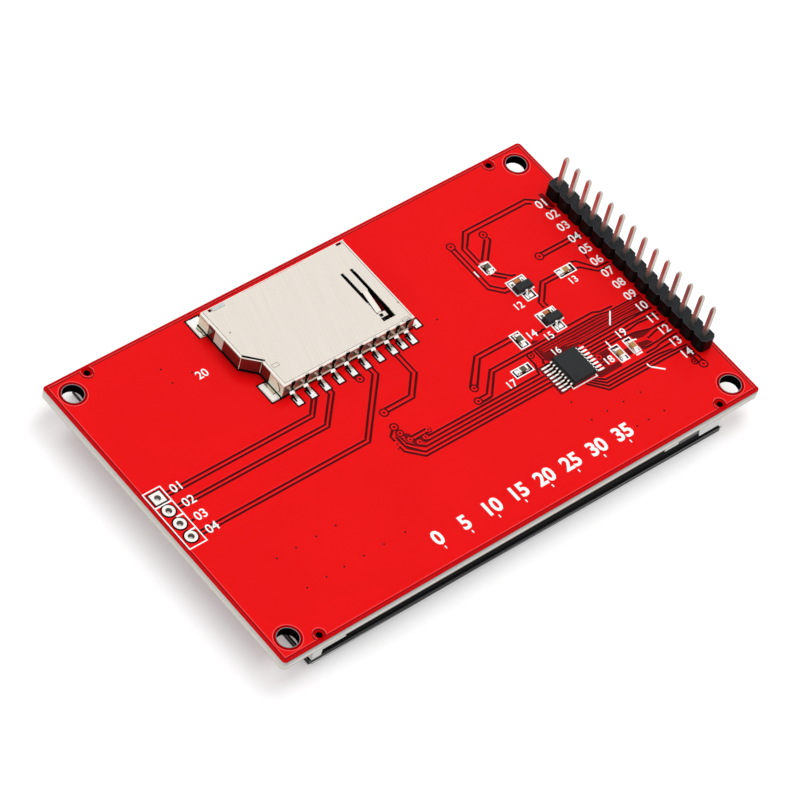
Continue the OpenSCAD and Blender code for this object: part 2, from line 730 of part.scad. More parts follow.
module thin_film_glass() {
    color("#9aadaa") at_panel() layer(rear_glass_x0, lcd_x1, lcd_w, rear_glass_z, light_z);
}

module rear_polariser() {
    color("#3a3d45") at_panel()
        layer(well_x0 + panel_fit, well_x1 - panel_fit, well_w - 2 * panel_fit,
              light_z, light_z + polariser_t);
}

// White tray: its walls stand round the glasses, and its step carries them over the light guide
module backlight_frame() {
    color("#eceae6") at_panel() difference() {
        layer(frame_x0, frame_x1, frame_w, front_glass_z, back_z);
        layer(frame_x0 - cut, lcd_x1 + panel_fit, frame_w - 2 * frame_wall,
              front_glass_z - cut, light_z);
        layer(well_x0, well_x1, well_w, light_z - cut, back_z + cut);
    }
}

module diffuser_sheet() {
    color("#f4f4f2") at_panel()
        layer(well_x0 + panel_fit, well_x1 - panel_fit, well_w - 2 * panel_fit,
              light_z + polariser_t, light_z + polariser_t + diffuser_t);
}

module light_guide() {
    color("#dfe8ea") at_panel()
        layer(well_x0 + led_d + 2 * panel_fit, well_x1 - panel_fit, well_w - 2 * panel_fit,
              back_z - reflector_t - guide_t, back_z - reflector_t);
}

module reflector_sheet() {
    color("#f7f7f7") at_panel()
        layer(well_x0 + panel_fit, well_x1 - panel_fit, well_w - 2 * panel_fit,
              back_z - reflector_t, back_z);
}

// The strip of lamps that shines into the light guide's edge
module backlight_strip() {
    lamps = 6;
    spacing = well_w / lamps;
    strip_z = back_z - reflector_t - flex_t;
    color("#e9d27a") at_panel() {
        layer(well_x0 + panel_fit, well_x0 + panel_fit + led_d, well_w - 2 * panel_fit,
              strip_z, back_z - reflector_t);
        for (i = [0:lamps - 1]) translate([0, (i - (lamps - 1) / 2) * spacing, 0])
            layer(well_x0 + 2 * panel_fit, well_x0 + led_d, 3, strip_z - guide_t + 0.15, strip_z);
    }
}

module driver_chip() {
    chip_x = rear_glass_x0 + flex_grip + driver_gap;
    color("#55585c") at_panel()
        layer(chip_x, chip_x + driver_w, driver_l, rear_glass_z - driver_h, rear_glass_z);
}

// A flex that leaves a face at low_z, folds round the panel's end and lies under the board
module folded_flex(start_x, end_x, low_z, bend_x, w) {
    path = eased([[start_x, low_z + flex_t / 2], [bend_x, low_z + flex_t / 2],
                  [bend_x, board_z - flex_t / 2], [end_x, board_z - flex_t / 2]],
                 (board_z - low_z - flex_t) / 2 - 0.02, 8);
    strip_along_x(path, flex_t, w);
}

module display_flex() {
    color("#b3742e") at_panel()
        folded_flex(rear_glass_x0 + flex_grip, frame_x0 + flex_tuck, rear_glass_z - flex_t,
                    frame_x0 - 0.7 * flex_room, flex_w);
}

module touch_flex() {
    color("#a86c2b") at_panel() translate([0, tail_y, 0])
        folded_flex(-panel_l / 2 + tail_grip, frame_x0 + flex_tuck, gasket_z,
                    frame_x0 - 0.85 * flex_room, tail_w);
}

// Black tape on each long side of the frame, folded over its back
module light_shield_tape() {
    low = front_glass_z;
    high = back_z + shield_t;
    bare = 4.4; // length at the flex end that only the lower half covers
    half_h = 1.5; // drop from the back to that lower half
    corner = 0.4;
    tail_x = frame_x1 - 3; // where the tape ends beside the glass
    back_x = frame_x1 - 7; // where it ends on the frame's back
    fold_w = 1.5; // width of the tape on the frame's back
    side = [[frame_x0, low], [tail_x, low], [tail_x, low + 0.3], [back_x, high],
            [frame_x0 + bare, high], [frame_x0 + bare, high - half_h + corner],
            [frame_x0 + bare - corner, high - half_h], [frame_x0, high - half_h]];
    color("#151517") at_panel() for (turn = [0, 1]) mirror([0, turn, 0]) {
        translate([0, -frame_w / 2, 0]) rotate([90, 0, 0]) linear_extrude(shield_t) polygon(side);
        block([frame_x0 + bare, -frame_w / 2, back_z],
              [back_x, -frame_w / 2 + fold_w, back_z + shield_t]);
    }
}

module mounting_tape() {
    tape_w = 10;
    tape_end = 8; // distance from the frame's ends
    tape_side = 0.5; // distance from the frame's long edges
    color("#dcdcd8") at_panel() for (turn = [0, 1]) mirror([0, turn, 0])
        block([frame_x0 + tape_end, -frame_w / 2 + tape_side, back_z + shield_t],
              [frame_x1 - tape_end, -frame_w / 2 + tape_side + tape_w, board_z]);
}

// ---- Draw ----

circuit_board();
card_header_pads();
header_housing();
header_solder();
for (i = [0:pin_count - 1]) header_pin(i);
card_socket_shell();
card_socket_base();
for (i = [0:contact_total - 1]) card_contact(i);
touch_controller_body();
touch_controller_leads();
regulator_body();
regulator_leads();
transistor_body();
transistor_leads();
capacitor_bodies();
resistor_bodies();
chip_end_caps();
touch_film();
touch_glass();
panel_gasket();
front_polariser();
colour_filter_glass();
thin_film_glass();
rear_polariser();
backlight_frame();
diffuser_sheet();
light_guide();
reflector_sheet();
backlight_strip();
driver_chip();
display_flex();
touch_flex();
light_shield_tape();
mounting_tape();
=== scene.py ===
# A colour display module, lying on its touch film with the board and its parts upwards.
# Lengths in the dictionaries are millimetres.
import json
import math

import bmesh
import bpy
from mathutils import Matrix, Vector


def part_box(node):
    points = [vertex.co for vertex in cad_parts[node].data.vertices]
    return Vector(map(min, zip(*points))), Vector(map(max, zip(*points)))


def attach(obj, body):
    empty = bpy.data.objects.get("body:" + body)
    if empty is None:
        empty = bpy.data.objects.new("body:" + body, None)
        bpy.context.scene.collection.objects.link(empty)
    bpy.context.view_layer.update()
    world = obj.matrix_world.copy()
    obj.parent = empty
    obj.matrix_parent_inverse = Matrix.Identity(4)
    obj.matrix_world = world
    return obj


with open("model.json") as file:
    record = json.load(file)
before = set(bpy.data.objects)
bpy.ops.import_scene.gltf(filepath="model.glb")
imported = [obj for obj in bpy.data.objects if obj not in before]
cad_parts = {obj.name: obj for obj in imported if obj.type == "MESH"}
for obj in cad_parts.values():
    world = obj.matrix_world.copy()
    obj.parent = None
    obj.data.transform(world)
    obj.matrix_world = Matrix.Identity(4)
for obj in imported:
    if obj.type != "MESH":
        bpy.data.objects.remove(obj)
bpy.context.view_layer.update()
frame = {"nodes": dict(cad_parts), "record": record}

mm = 0.001
nodes = frame["nodes"]
boardLow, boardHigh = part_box("circuit_board")
boardTop = boardHigh.z / mm
mounts = {mount["name"]: mount["dims"] for mount in frame["record"]["mounts"]}
fixingHole = [mounts["fixing_holes"][key] / 2 for key in ("spacing_x_mm", "spacing_y_mm")]
print("frame loaded,", len(nodes), "nodes")


# shared tools

def linear(text):  # an sRGB hex colour as linear values
    values = [int(text[i:i + 2], 16) / 255 for i in (1, 3, 5)]
    return [v / 12.92 if v <= 0.04045 else ((v + 0.055) / 1.055) ** 2.4 for v in values] + [1.0]


def feed(node, values):  # numbers, colours, nodes or sockets into a node's inputs
    for key, value in dict(values).items():
        if isinstance(value, bpy.types.Node):
            value = value.outputs[0]
        if isinstance(value, bpy.types.NodeSocket):
            node.id_data.links.new(value, node.inputs[key])
        else:
            node.inputs[key].default_value = linear(value) if isinstance(value, str) else value


def addNode(tree, kind, values=()):  # a node with its settings and inputs
    made = tree.nodes.new("ShaderNode" + kind)
    for key, value in dict(values).items():
        if isinstance(key, int) or key in made.inputs:
            feed(made, {key: value})
        else:
            setattr(made, key, value)
    return made


def calc(tree, operation, *values):
    return addNode(tree, "Math", {"operation": operation, **dict(enumerate(values))})


def blend(tree, share, low, high):  # two colours mixed
    return addNode(tree, "Mix", {"data_type": "RGBA", 0: share, 6: low, 7: high}).outputs[2]


def bumps(tree, height, depth):  # a fine relief, this many millimetres deep
    return addNode(tree, "Bump", {"Strength": 1.0, "Distance": depth * mm, "Height": height})


def vectorCalc(tree, operation, *values):
    return addNode(tree, "VectorMath", {"operation": operation, **dict(enumerate(values))})


def axesOf(tree, vector):
    return addNode(tree, "SeparateXYZ", {0: vector}).outputs


def faceDirection(tree):
    return axesOf(tree, addNode(tree, "NewGeometry").outputs["True Normal"])


def span(tree, value, low, high, start=0.0, end=1.0):  # a value from one range brought to another
    ends = {"From Min": low, "From Max": high, "To Min": start, "To Max": end}
    return addNode(tree, "MapRange", {"Value": value, **ends})


def clouds(tree, coords, size, detail=2.0):
    return addNode(tree, "TexNoise", {"Scale": 1 / (size * mm), "Detail": detail, "Vector": coords})


def addRamp(tree, value, stops, stepped=False):  # each stop: its place, colour and maybe alpha
    made = addNode(tree, "ValToRGB", {0: value})
    ramp = made.color_ramp
    if stepped:
        ramp.interpolation = "CONSTANT"
    for place, colour, *alpha in stops:
        stop = ramp.elements.new(place)
        stop.color = linear(colour)[:3] + (alpha or [1.0])
    ramp.elements.remove(ramp.elements[-1])
    ramp.elements.remove(ramp.elements[0])
    return made


def newMaterial(name, sockets=()):
    material = bpy.data.materials.new(name)
    material.use_nodes = True
    shader = material.node_tree.nodes["Principled BSDF"]
    feed(shader, sockets)
    return material.node_tree, shader


def addObject(name, data):
    made = bpy.data.objects.new(name, data)
    bpy.context.scene.collection.objects.link(made)
    return made


def paint(piece, material):
    piece.data.materials.clear()
    piece.data.materials.append(bpy.data.materials[material])


def finishPiece(bm, name, material, smooth=False):  # bm becomes a piece
    mesh = bpy.data.meshes.new(name)
    bmesh.ops.recalc_face_normals(bm, faces=bm.faces)
    for face in bm.faces:
        face.smooth = smooth
    bm.to_mesh(mesh)
    bm.free()
    piece = addObject(name, mesh)
    paint(piece, material)
    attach(piece, "root")
    print("piece", name, len(mesh.polygons), "faces")


def addCurve(bm, curve, place):  # a curve or a text as faces in bm
    holder = addObject("holder", curve)
    depsgraph = bpy.context.evaluated_depsgraph_get()
    mesh = bpy.data.meshes.new_from_object(holder.evaluated_get(depsgraph))
    mesh.transform(place)
    bm.from_mesh(mesh)
    bpy.data.meshes.remove(mesh)
    bpy.data.objects.remove(holder)
    bpy.data.curves.remove(curve)


def addPaths(bm, paths, closed, place, **settings):  # a curve through the points of each path
    curve = bpy.data.curves.new("paths", "CURVE")
    for key, value in settings.items():
        setattr(curve, key, value)
    for path in paths:
        spline = curve.splines.new("POLY")
        spline.points.add(len(path) - 1)
        for point, (x, y, *z) in zip(spline.points, path):
            point.co = [v * mm for v in (x, y, *(z or [0]))] + [1]
        spline.use_cyclic_u = closed
    addCurve(bm, curve, place)


def addThreads(bm, paths, radius, closed=False, place=Matrix.Identity(4)):  # round threads along paths
    shape = {"dimensions": "3D", "bevel_depth": radius * mm, "bevel_resolution": 1, "use_fill_caps": True}
    addPaths(bm, paths, closed, place, **shape)


def addStrokes(bm, paths, width, rise, level=boardTop, closed=False):  # flat ribbons along paths
    flat = Matrix.Scale(2 * rise / width, 4, (0, 0, 1))
    addThreads(bm, paths, width / 2, closed, Matrix.Translation((0, 0, level * mm)) @ flat)


def addPlate(bm, loops, low, high):  # the first loop is the outline, the others are holes
    shape = {"dimensions": "2D", "fill_mode": "BOTH", "extrude": (high - low) * mm / 2}
    addPaths(bm, loops, True, Matrix.Translation((0, 0, (low + high) * mm / 2)), **shape)


sunk = 0.02  # what stands on the board reaches this far into it


def addPatch(bm, loops, rise):  # a thin plate on the board
    addPlate(bm, loops, boardTop - sunk, boardTop + rise)


def circle(x, y, radius, count=28):
    turns = [2 * math.pi * i / count for i in range(count)]
    return [(x + radius * math.cos(turn), y + radius * math.sin(turn)) for turn in turns]


def rectangle(x0, y0, x1, y1, inset=0):
    x0, y0, x1, y1 = x0 + inset, y0 + inset, x1 - inset, y1 - inset
    return [(x0, y0), (x1, y0), (x1, y1), (x0, y1)]


def addBlock(bm, low, high, edge, lean=(0, 0), shrink=1.0):  # the top drawn in and pushed over
    made = bmesh.ops.create_cube(bm, size=1)["verts"]
    size = [high[i] - low[i] for i in range(3)]
    for vert in made:
        top = vert.co.z > 0
        pull = shrink if top else 1.0
        vert.co.x = (vert.co.x * pull * size[0] + (low[0] + high[0]) / 2 + lean[0] * top) * mm
        vert.co.y = (vert.co.y * pull * size[1] + (low[1] + high[1]) / 2 + lean[1] * top) * mm
        vert.co.z = (vert.co.z * size[2] + (low[2] + high[2]) / 2) * mm
    edges = list({e for v in made for e in v.link_edges})
    bmesh.ops.bevel(bm, geom=edges, offset=edge * mm, segments=2, affect="EDGES", profile=0.5, material=-1)


def addLand(bm, x0, y0, x1, y1, rise, edge, lean=(0, 0), shrink=1.0):  # a block that stands on the board
    addBlock(bm, (x0, y0, boardTop - sunk), (x1, y1, boardTop + rise), edge, lean, shrink)


# camera, light and floor

view = {
    "position": (-301.1218, -232.3219, 465.7257),
    "right": (0.759143, -0.626056, 0.178204),
    "up": (0.414589, 0.676100, 0.609102),
    "forward": (0.501815, 0.388514, -0.772812),
    "lens": 188.851,
    "sensor": 36.0,
    "clip": (0.01, 20.0),
}

light = {
    "boxAt": (675, 270, 1312),
    "boxSize": 1000,
    "boxPower": 7.2,
    "ceilingAt": (0, 0, 1500),
    "ceilingSize": 900,
    "ceilingPower": 2.2,
    "roomLevel": 0.74,
    "darkSide": (-0.502, -0.389, 0.773),
    "darkFrom": 0.74,
    "darkTo": 0.93,
    "darkLevel": 0.08,
    "floorColour": "#e7e7e7",
    "floorBounce": "#a8adad",
    "floorGlow": 0.27,
    "floorSize": 6000,
    "floorDrop": 0.02,
}

lens = bpy.data.cameras.new("lens")
lens.lens = view["lens"]
lens.sensor_width = view["sensor"]
lens.clip_start, lens.clip_end = view["clip"]
camera = addObject("camera", lens)
turn = Matrix((view["right"], view["up"], [-v for v in view["forward"]])).transposed().to_4x4()
camera.matrix_world = Matrix.Translation(Vector(view["position"]) * mm) @ turn
bpy.context.scene.camera = camera
bpy.context.scene.view_settings.view_transform = "Standard"

world = bpy.data.worlds.new("room")  # white, with a dark end behind the viewer that gloss picks up
bpy.context.scene.world = world
world.use_nodes = True
tree = world.node_tree
rays = addNode(tree, "LightPath").outputs
way = addNode(tree, "TexCoord").outputs["Generated"]
facing = vectorCalc(tree, "DOT_PRODUCT", way, light["darkSide"])
dark = span(tree, facing.outputs["Value"], light["darkFrom"], light["darkTo"], 1.0, light["darkLevel"])
dark.interpolation_type = "SMOOTHSTEP"
glossy = addNode(tree, "Mix", {0: rays["Is Glossy Ray"], 2: light["roomLevel"], 3: dark})
plain = calc(tree, "MAXIMUM", rays["Is Camera Ray"], rays["Is Transmission Ray"])
level = addNode(tree, "Mix", {0: plain, 2: glossy, 3: 1.0})
feed(tree.nodes["Background"], {"Color": (1, 1, 1, 1), "Strength": level})


def addLamp(name, place, size, power, glossy):  # a round softbox that faces the module
    lamp = bpy.data.lights.new(name, "AREA")
    lamp.shape = "DISK"
    lamp.size = size * mm
    lamp.energy = power
    holder = addObject(name, lamp)
    where = Vector(place) * mm
    holder.matrix_world = Matrix.Translation(where) @ where.to_track_quat("Z", "Y").to_matrix().to_4x4()
    holder.visible_glossy = glossy


addLamp("softbox", light["boxAt"], light["boxSize"], light["boxPower"], False)
addLamp("ceiling", light["ceilingAt"], light["ceilingSize"], light["ceilingPower"], True)

tree, shader = newMaterial("paperFloor", {"Roughness": 0.9, "Specular IOR Level": 0.1})
rays = addNode(tree, "LightPath").outputs
seen = calc(tree, "MAXIMUM", rays["Is Camera Ray"], rays["Is Glossy Ray"])
seen = calc(tree, "MAXIMUM", seen, rays["Is Transmission Ray"])
feed(shader, {
    "Base Color": blend(tree, seen, light["floorBounce"], light["floorColour"]),
    "Emission Color": (1, 1, 1, 1),
    "Emission Strength": calc(tree, "MULTIPLY", seen, light["floorGlow"]),
})
floorMesh = bpy.data.meshes.new("floor")
bm = bmesh.new()
bmesh.ops.create_grid(bm, x_segments=1, y_segments=1, size=light["floorSize"] * mm / 2)
bmesh.ops.translate(bm, verts=bm.verts, vec=(0, 0, -light["floorDrop"] * mm))
bm.to_mesh(floorMesh)
bm.free()
floor = addObject("floor", floorMesh)
paint(floor, "paperFloor")
print("camera, light and floor ready")


# materials

toneSpread = (0.3, 0.7)  # the part of a noise that runs from one tone to the other


def toned(name, first, second, size, relief=0.0, rough=0.5, shine=0.5, metal=0.0, stretch=(1, 1, 1)):
    # two tones over clouds or lines, their size in millimetres; a pair of roughnesses goes with them
    tree, shader = newMaterial(name, {"Specular IOR Level": shine, "Metallic": metal})
    coords = addNode(tree, "TexCoord").outputs["Object"]
    scaled = addNode(tree, "Mapping", {"Scale": [1 / (size * mm * s) for s in stretch], "Vector": coords})
    cloud = addNode(tree, "TexNoise", {"Scale": 1.0, "Detail": 3.0, "Vector": scaled})
    spread = span(tree, cloud, *toneSpread)
    if isinstance(rough, tuple):
        rough = span(tree, spread, 0, 1, *rough)
    feed(shader, {"Base Color": blend(tree, spread, first, second), "Roughness": rough})
    if relief:
        feed(shader, {"Normal": bumps(tree, cloud, relief)})


board = {
    "mask": ("#e80e11", "#e20b0e"),
    "maskCloud": 9.0,
    "peel": (0.35, 0.0006),
    "band": "#bc0007",
    "bandWidth": 0.6,
    "ring": "#990304",
    "ringRadius": 2.05,
    "wall": "#060606",
    "smallHole": (37.6, 26.32),
    "smallRadius": 0.92,
    "smallRing": "#b00408",
    "layers": (
        (0.0, "#b48c74"), (0.06, "#c8ac9a"), (0.13, "#fffaf2"), (0.44, "#fff8f0"), (0.56, "#d6d0ca"),
        (0.8, "#cac8c4"), (0.94, "#6d8482"),
    ),
    "cloth": (0.48, "#b8b2aa"),
    "clothSpread": (0.35, 0.75, 0.0, 0.35),
    "endLightShare": 0.6,
    "endLightTone": "#fff8ee",
    "rough": (0.4, 0.2),
    "shine": (0.9, 0.06),
}


def boardMaterial():
    # epoxy solder mask on the faces; sawn glass-fibre laminate on the edges, pale and layered
    tree, shader = newMaterial("solderMaskOnLaminate")
    coords = addNode(tree, "TexCoord").outputs["Object"]
    spread = vectorCalc(tree, "ABSOLUTE", coords)
    axes = axesOf(tree, spread)
    facing = faceDirection(tree)
    isFace = calc(tree, "GREATER_THAN", calc(tree, "ABSOLUTE", facing[2]), 0.5)
    # mask with a slow change of tone, and the bare band along the edges
    red = blend(tree, clouds(tree, coords, board["maskCloud"]), *board["mask"])
    pastX = calc(tree, "SUBTRACT", axes[0], boardHigh.x - board["bandWidth"] * mm)
    pastY = calc(tree, "SUBTRACT", axes[1], boardHigh.y - board["bandWidth"] * mm)
    inBand = calc(tree, "GREATER_THAN", calc(tree, "MAXIMUM", pastX, pastY), 0.0)
    red = blend(tree, inBand, red, board["band"])
    # a darker ring round each fixing hole and each small hole, and painted shade on the hole walls: near
    # black, with no gloss
    flat = vectorCalc(tree, "MULTIPLY", spread, (1, 1, 0))
    holes = (
        (fixingHole, board["ringRadius"], board["ring"]),
        (board["smallHole"], board["smallRadius"], board["smallRing"]),
    )
    near = []
    for middle, radius, colour in holes:
        place = [v * mm for v in middle] + [0]
        away = vectorCalc(tree, "DISTANCE", flat, place).outputs["Value"]
        near.append(calc(tree, "LESS_THAN", away, radius * mm))
        red = blend(tree, near[-1], red, colour)
    inHole = calc(tree, "MAXIMUM", *near)
    # the laminate's layers, from the lower face up, with the cloth's cut ends
    height = span(tree, axesOf(tree, coords)[2], boardLow.z, boardHigh.z)
    size, colour = board["cloth"]
    threads = span(tree, clouds(tree, coords, size, 3.0), *board["clothSpread"])
    edge = blend(tree, threads, addRamp(tree, height, board["layers"]), colour)
    # painted light: the two short edges are painted paler than the long edges
    endLight = calc(tree, "MULTIPLY", calc(tree, "ABSOLUTE", facing[0]), board["endLightShare"])
    edge = blend(tree, endLight, edge, board["endLightTone"])
    edge = blend(tree, inHole, edge, board["wall"])
    shine = span(tree, isFace, 0, 1, *board["shine"])
    size, depth = board["peel"]  # the slight orange peel of cured mask
    feed(shader, {
        "Base Color": blend(tree, isFace, edge, red),
        "Roughness": span(tree, isFace, 0, 1, *board["rough"]),
        "Specular IOR Level": calc(tree, "MULTIPLY", shine, calc(tree, "SUBTRACT", 1.0, inHole)),
        "Normal": bumps(tree, clouds(tree, coords, size), depth),
    })


boardMaterial()
# the mask where it dips between copper areas: a deep red line, darker for the bare laminate under it and
# darker still as painted shade in the dip
toned("maskGrooveShade", "#420406", "#4c0507", 0.5, rough=0.25, shine=0.06)
# mask with no copper under it: a darker red field; beside the parts the same red is painted shade
toned("maskShade", "#68060a", "#72070b", 0.8, rough=0.25, shine=0.06)
# painted shade: nearly black mask round the soldered lands, under and beside the parts, and in the vias
toned("maskDeepShade", "#240204", "#300406", 0.6, rough=0.3, shine=0.04)
# mask over single tracks: the plain red again
toned("maskTrace", "#e80e11", "#d80c0f", 0.6, rough=0.2, shine=0.06)
# mask drawn up over a copper edge: a thin pink glint
toned("maskGlint", "#f4585a", "#f04a4c", 1.0, rough=0.2, shine=0.06)
# the same, weaker, beside a single track
toned("maskSheen", "#f02428", "#ee1c20", 1.0, rough=0.2, shine=0.06)
# laminate at the rim of a drilled hole: greenish grey
toned("cutRim", "#74868a", "#667a7e", 0.3, rough=0.4)
# white epoxy printing ink, screened: a chalky white with slightly thin spots
toned("printInk", "#ffffff", "#f8f4f3", 0.35, 0.002, rough=0.5, shine=0.2)
# black moulded nylon: satin, faint moulding texture
toned("mouldedNylon", "#1d1e1f", "#242526", 0.25, 0.004, rough=(0.34, 0.48), shine=0.08)
nylon = {
    # painted light by facing: walls near black as painted shade, chamfers lighter as painted highlight, tops
    # between
    "lightByFacing": ((0.0, "#020202"), (0.2, "#4c4d4e"), (0.95, "#282a2c")),  # walls, chamfers and tops
    "share": 0.12,
}
tree = bpy.data.materials["mouldedNylon"].node_tree
shader = tree.nodes["Principled BSDF"]
cloudy = shader.inputs["Base Color"].links[0].from_socket
lightByFacing = addRamp(tree, faceDirection(tree)[2], nylon["lightByFacing"], stepped=True)
feed(shader, {"Base Color": blend(tree, nylon["share"], lightByFacing, cloudy)})
# charcoal moulded epoxy: matt with a fine filler grain
toned("mouldedEpoxy", "#262829", "#2f3132", 0.12, 0.004, rough=(0.48, 0.64), shine=0.12)
# bright tinned strip: nearly white metal with small soft ripples
toned("tinnedStrip", "#fffefa", "#f2efe8", 0.4, 0.002, rough=(0.14, 0.26), metal=1.0)
# tinned square pins: drawn, a little dull, faint lines along their length
toned("tinnedPin", "#cfc8be", "#b8b0a6", 0.12, 0.001, (0.28, 0.36), metal=0.84, stretch=(1, 1, 20))
# tin over copper lands: bright, slightly uneven
toned("tinnedCopper", "#fffefa", "#f4f1ea", 0.5, 0.001, rough=(0.18, 0.32), metal=1.0)
# solder that flowed and set: bright rounded metal with a slight frost
toned("setSolder", "#ffffff", "#f6f4f0", 0.3, 0.002, rough=(0.16, 0.3), metal=1.0)
# bare copper at a land's edge: warm orange
toned("bareCopper", "#c8783a", "#b4662c", 0.3, 0.003, rough=0.4, metal=0.3)
# fired ceramic: dry tan body, speckled
toned("firedCeramic", "#c09256", "#a87a42", 0.15, 0.004, rough=0.5, shine=0.2)
# glazed resistor coat: dark olive and smooth
toned("glazedCoat", "#4a4836", "#5c5840", 0.2, 0.002, rough=0.35, shine=0.3)
# polished glass edge, seen on end: dark, wet, greenish grey
toned("polishedGlass", "#1a1b1c", "#232526", 2.0, rough=0.12, shine=0.12)
# black tape: film with a dull surface
toned("blackTape", "#040405", "#070708", 0.4, 0.004, rough=0.6, shine=0.05)
# dark polarising film: even, half-gloss
toned("polarisingFilm", "#22242a", "#26282e", 2.0, rough=0.3)
# white moulded frame: smooth, faintly translucent plastic
toned("whiteFrame", "#fffefc", "#f8f6f2", 0.5, 0.003, rough=0.4, shine=0.4)
# white diffusing film: matt and even
toned("diffusingFilm", "#f0f0ee", "#e8e8e6", 0.3, 0.002, rough=0.6)
# clear acrylic plate: pale, bluish at its edge, glossy
toned("clearAcrylic", "#dfe8ea", "#d2dee1", 3.0, rough=0.08)
# white reflecting film: bright and smooth
toned("reflectingFilm", "#f2f2f2", "#eaeaea", 1.5, rough=0.25)
# lamp strip: pale yellow phosphor over white carriers
toned("lampStrip", "#e9d27a", "#f0e0a0", 0.8, 0.003, rough=0.45)
# ground silicon: cool grey, half-mirror
toned("groundSilicon", "#55585c", "#4c4f54", 0.2, 0.001, rough=0.22, metal=0.6)
# amber polyimide film: glossy, copper showing through in soft bands
toned("amberFilm", "#b3742e", "#9c6224", 0.5, 0.002, rough=0.28, stretch=(20, 1, 20))
# pale foam tape: open fine cells
toned("foamTape", "#dcdcd8", "#cfcfca", 0.12, 0.01, rough=0.85, shine=0.2)

steel = {
    "tones": ("#ece4da", "#e6ded3"),
    "lines": 0.16,
    "lineStretch": 80,
    "lineTurn": 0.3,
    "waves": 0.3,
    "relief": 0.00012,
    "rough": (0.16, 0.22),
    "fold": "#f6f0e6",
    "frontShading": ("#6c5248", "#b89c88"),
    "frontMetal": 0.6,
    "wallRough": 0.16,
    "foldFrom": 0.5,  # slopes from which a face is a fold, the top, or the wall at the contacts
    "topFrom": 0.98,
    "frontFrom": -0.8,
    "places": (  # along the card's path: the wall's tone and how much of it is metal; the pale non-metal stretches are painted highlight on the tabs and a bulge, the dark metal ones painted shade
        (0.0, "#f4ffe4", 0.0), (11.2, "#84746c", 0.92), (19.3, "#dcf4e4", 0.0), (21.3, "#84746c", 0.92),
        (22.7, "#f4ffe4", 0.0),
    ),
}


def steelMaterial():
    # folded stainless sheet: a pale warm top, brushed along the card's path, and mirror-like walls, painted
    # darker as shade and with pale painted highlights on the tabs
    tree, shader = newMaterial("brushedStainless")
    coords = addNode(tree, "TexCoord").outputs["Object"]
    turned = addNode(tree, "Mapping", {"Rotation": (0, 0, steel["lineTurn"]), "Vector": coords})
    scale = [1 / (steel["lines"] * mm * s) for s in (1, steel["lineStretch"], 1)]
    scaled = addNode(tree, "Mapping", {"Scale": scale, "Vector": turned})
    drawn = {"Scale": 1.0, "Detail": 1.5, "Distortion": steel["waves"], "Vector": scaled}
    lines = addNode(tree, "TexNoise", drawn)
    spread = span(tree, lines, *toneSpread)
    top = blend(tree, spread, *steel["tones"])
    place = axesOf(tree, coords)
    facing = faceDirection(tree)
    upright = calc(tree, "ABSOLUTE", facing[2])
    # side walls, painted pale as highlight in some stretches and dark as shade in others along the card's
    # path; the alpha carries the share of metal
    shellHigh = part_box("card_socket_shell")[1]
    along = span(tree, place[1], 0, shellHigh.y)
    stops = [(start * mm / shellHigh.y, colour, metal) for start, colour, metal in steel["places"]]
    side = addRamp(tree, along, stops, stepped=True).outputs
    # the wall at the contacts, painted darker towards the board as shade
    climb = span(tree, place[2], boardHigh.z, shellHigh.z)
    isFront = calc(tree, "LESS_THAN", facing[1], steel["frontFrom"])
    wall = blend(tree, isFront, side["Color"], blend(tree, climb, *steel["frontShading"]))
    metalShare = addNode(tree, "Mix", {0: isFront, 2: side["Alpha"], 3: steel["frontMetal"]})
    isFold = calc(tree, "GREATER_THAN", upright, steel["foldFrom"])
    isTop = calc(tree, "GREATER_THAN", upright, steel["topFrom"])
    gloss = span(tree, spread, 0, 1, *steel["rough"])
    feed(shader, {
        "Base Color": blend(tree, isTop, blend(tree, isFold, wall, steel["fold"]), top),
        "Metallic": calc(tree, "MAXIMUM", isFold, metalShare),
        "Roughness": addNode(tree, "Mix", {0: isFold, 2: steel["wallRough"], 3: gloss}),
        "Normal": bumps(tree, spread, steel["relief"]),
    })


steelMaterial()
# the same sheet where a tool pressed it: a shallow mark, with painted shade at its rim
toned("pressedMarkShade", "#8a8074", "#7c7268", 0.3, rough=0.35, metal=1.0)
# painted shade: near black for the inside of the socket seen through its openings, the shadow line under its
# walls and the dark reflections on its contacts
toned("socketShadeDark", "#040303", "#080606", 0.4, rough=0.6, shine=0.05)
# the bright line where the sheet turns over
toned("foldShine", "#fffdf8", "#f8f4ec", 0.6, rough=0.3)
# the warm dark line under it
toned("foldShade", "#43342a", "#4e3e33", 0.6, rough=0.7, shine=0.05)
# painted highlight: pale steel for the light lines up the wall's bends and the pale strips on the wall
# between the contacts
toned("steelGlint", "#fff8e4", "#f8efda", 0.4, rough=0.35)
# the lip at the mouth: a little duller and bluer grey steel
toned("lipSteel", "#c8ceca", "#bcc2be", 0.5, rough=0.4)
# painted highlight: the light edges round the top of moulded nylon
toned("nylonEdgeGlint", "#4e5052", "#424446", 0.5, rough=0.5, shine=0.1)
# painted highlight: a grey line along the glass's edge, where it catches the light
toned("glassEdgeGlint", "#8c8c8c", "#7c7c7c", 0.5, rough=0.5)
# painted shade: grey for the white frame where it lies in a recess at the panel's front
toned("frameRecessShade", "#6e6e6e", "#5e5e5e", 0.5, rough=0.5, shine=0.2)
# tin inside a plated hole, in its own shade
toned("holeTin", "#8e8984", "#7c7772", 0.2, rough=0.5, metal=0.4)

film = {
    "border": ("#101113", "#131416"),
    "borderCloud": 8.0,
    "picture": "#1b1e26",
    "pictureSize": (64.8, 48.6),
    "pictureMiddle": (2.69, -0.02),
}


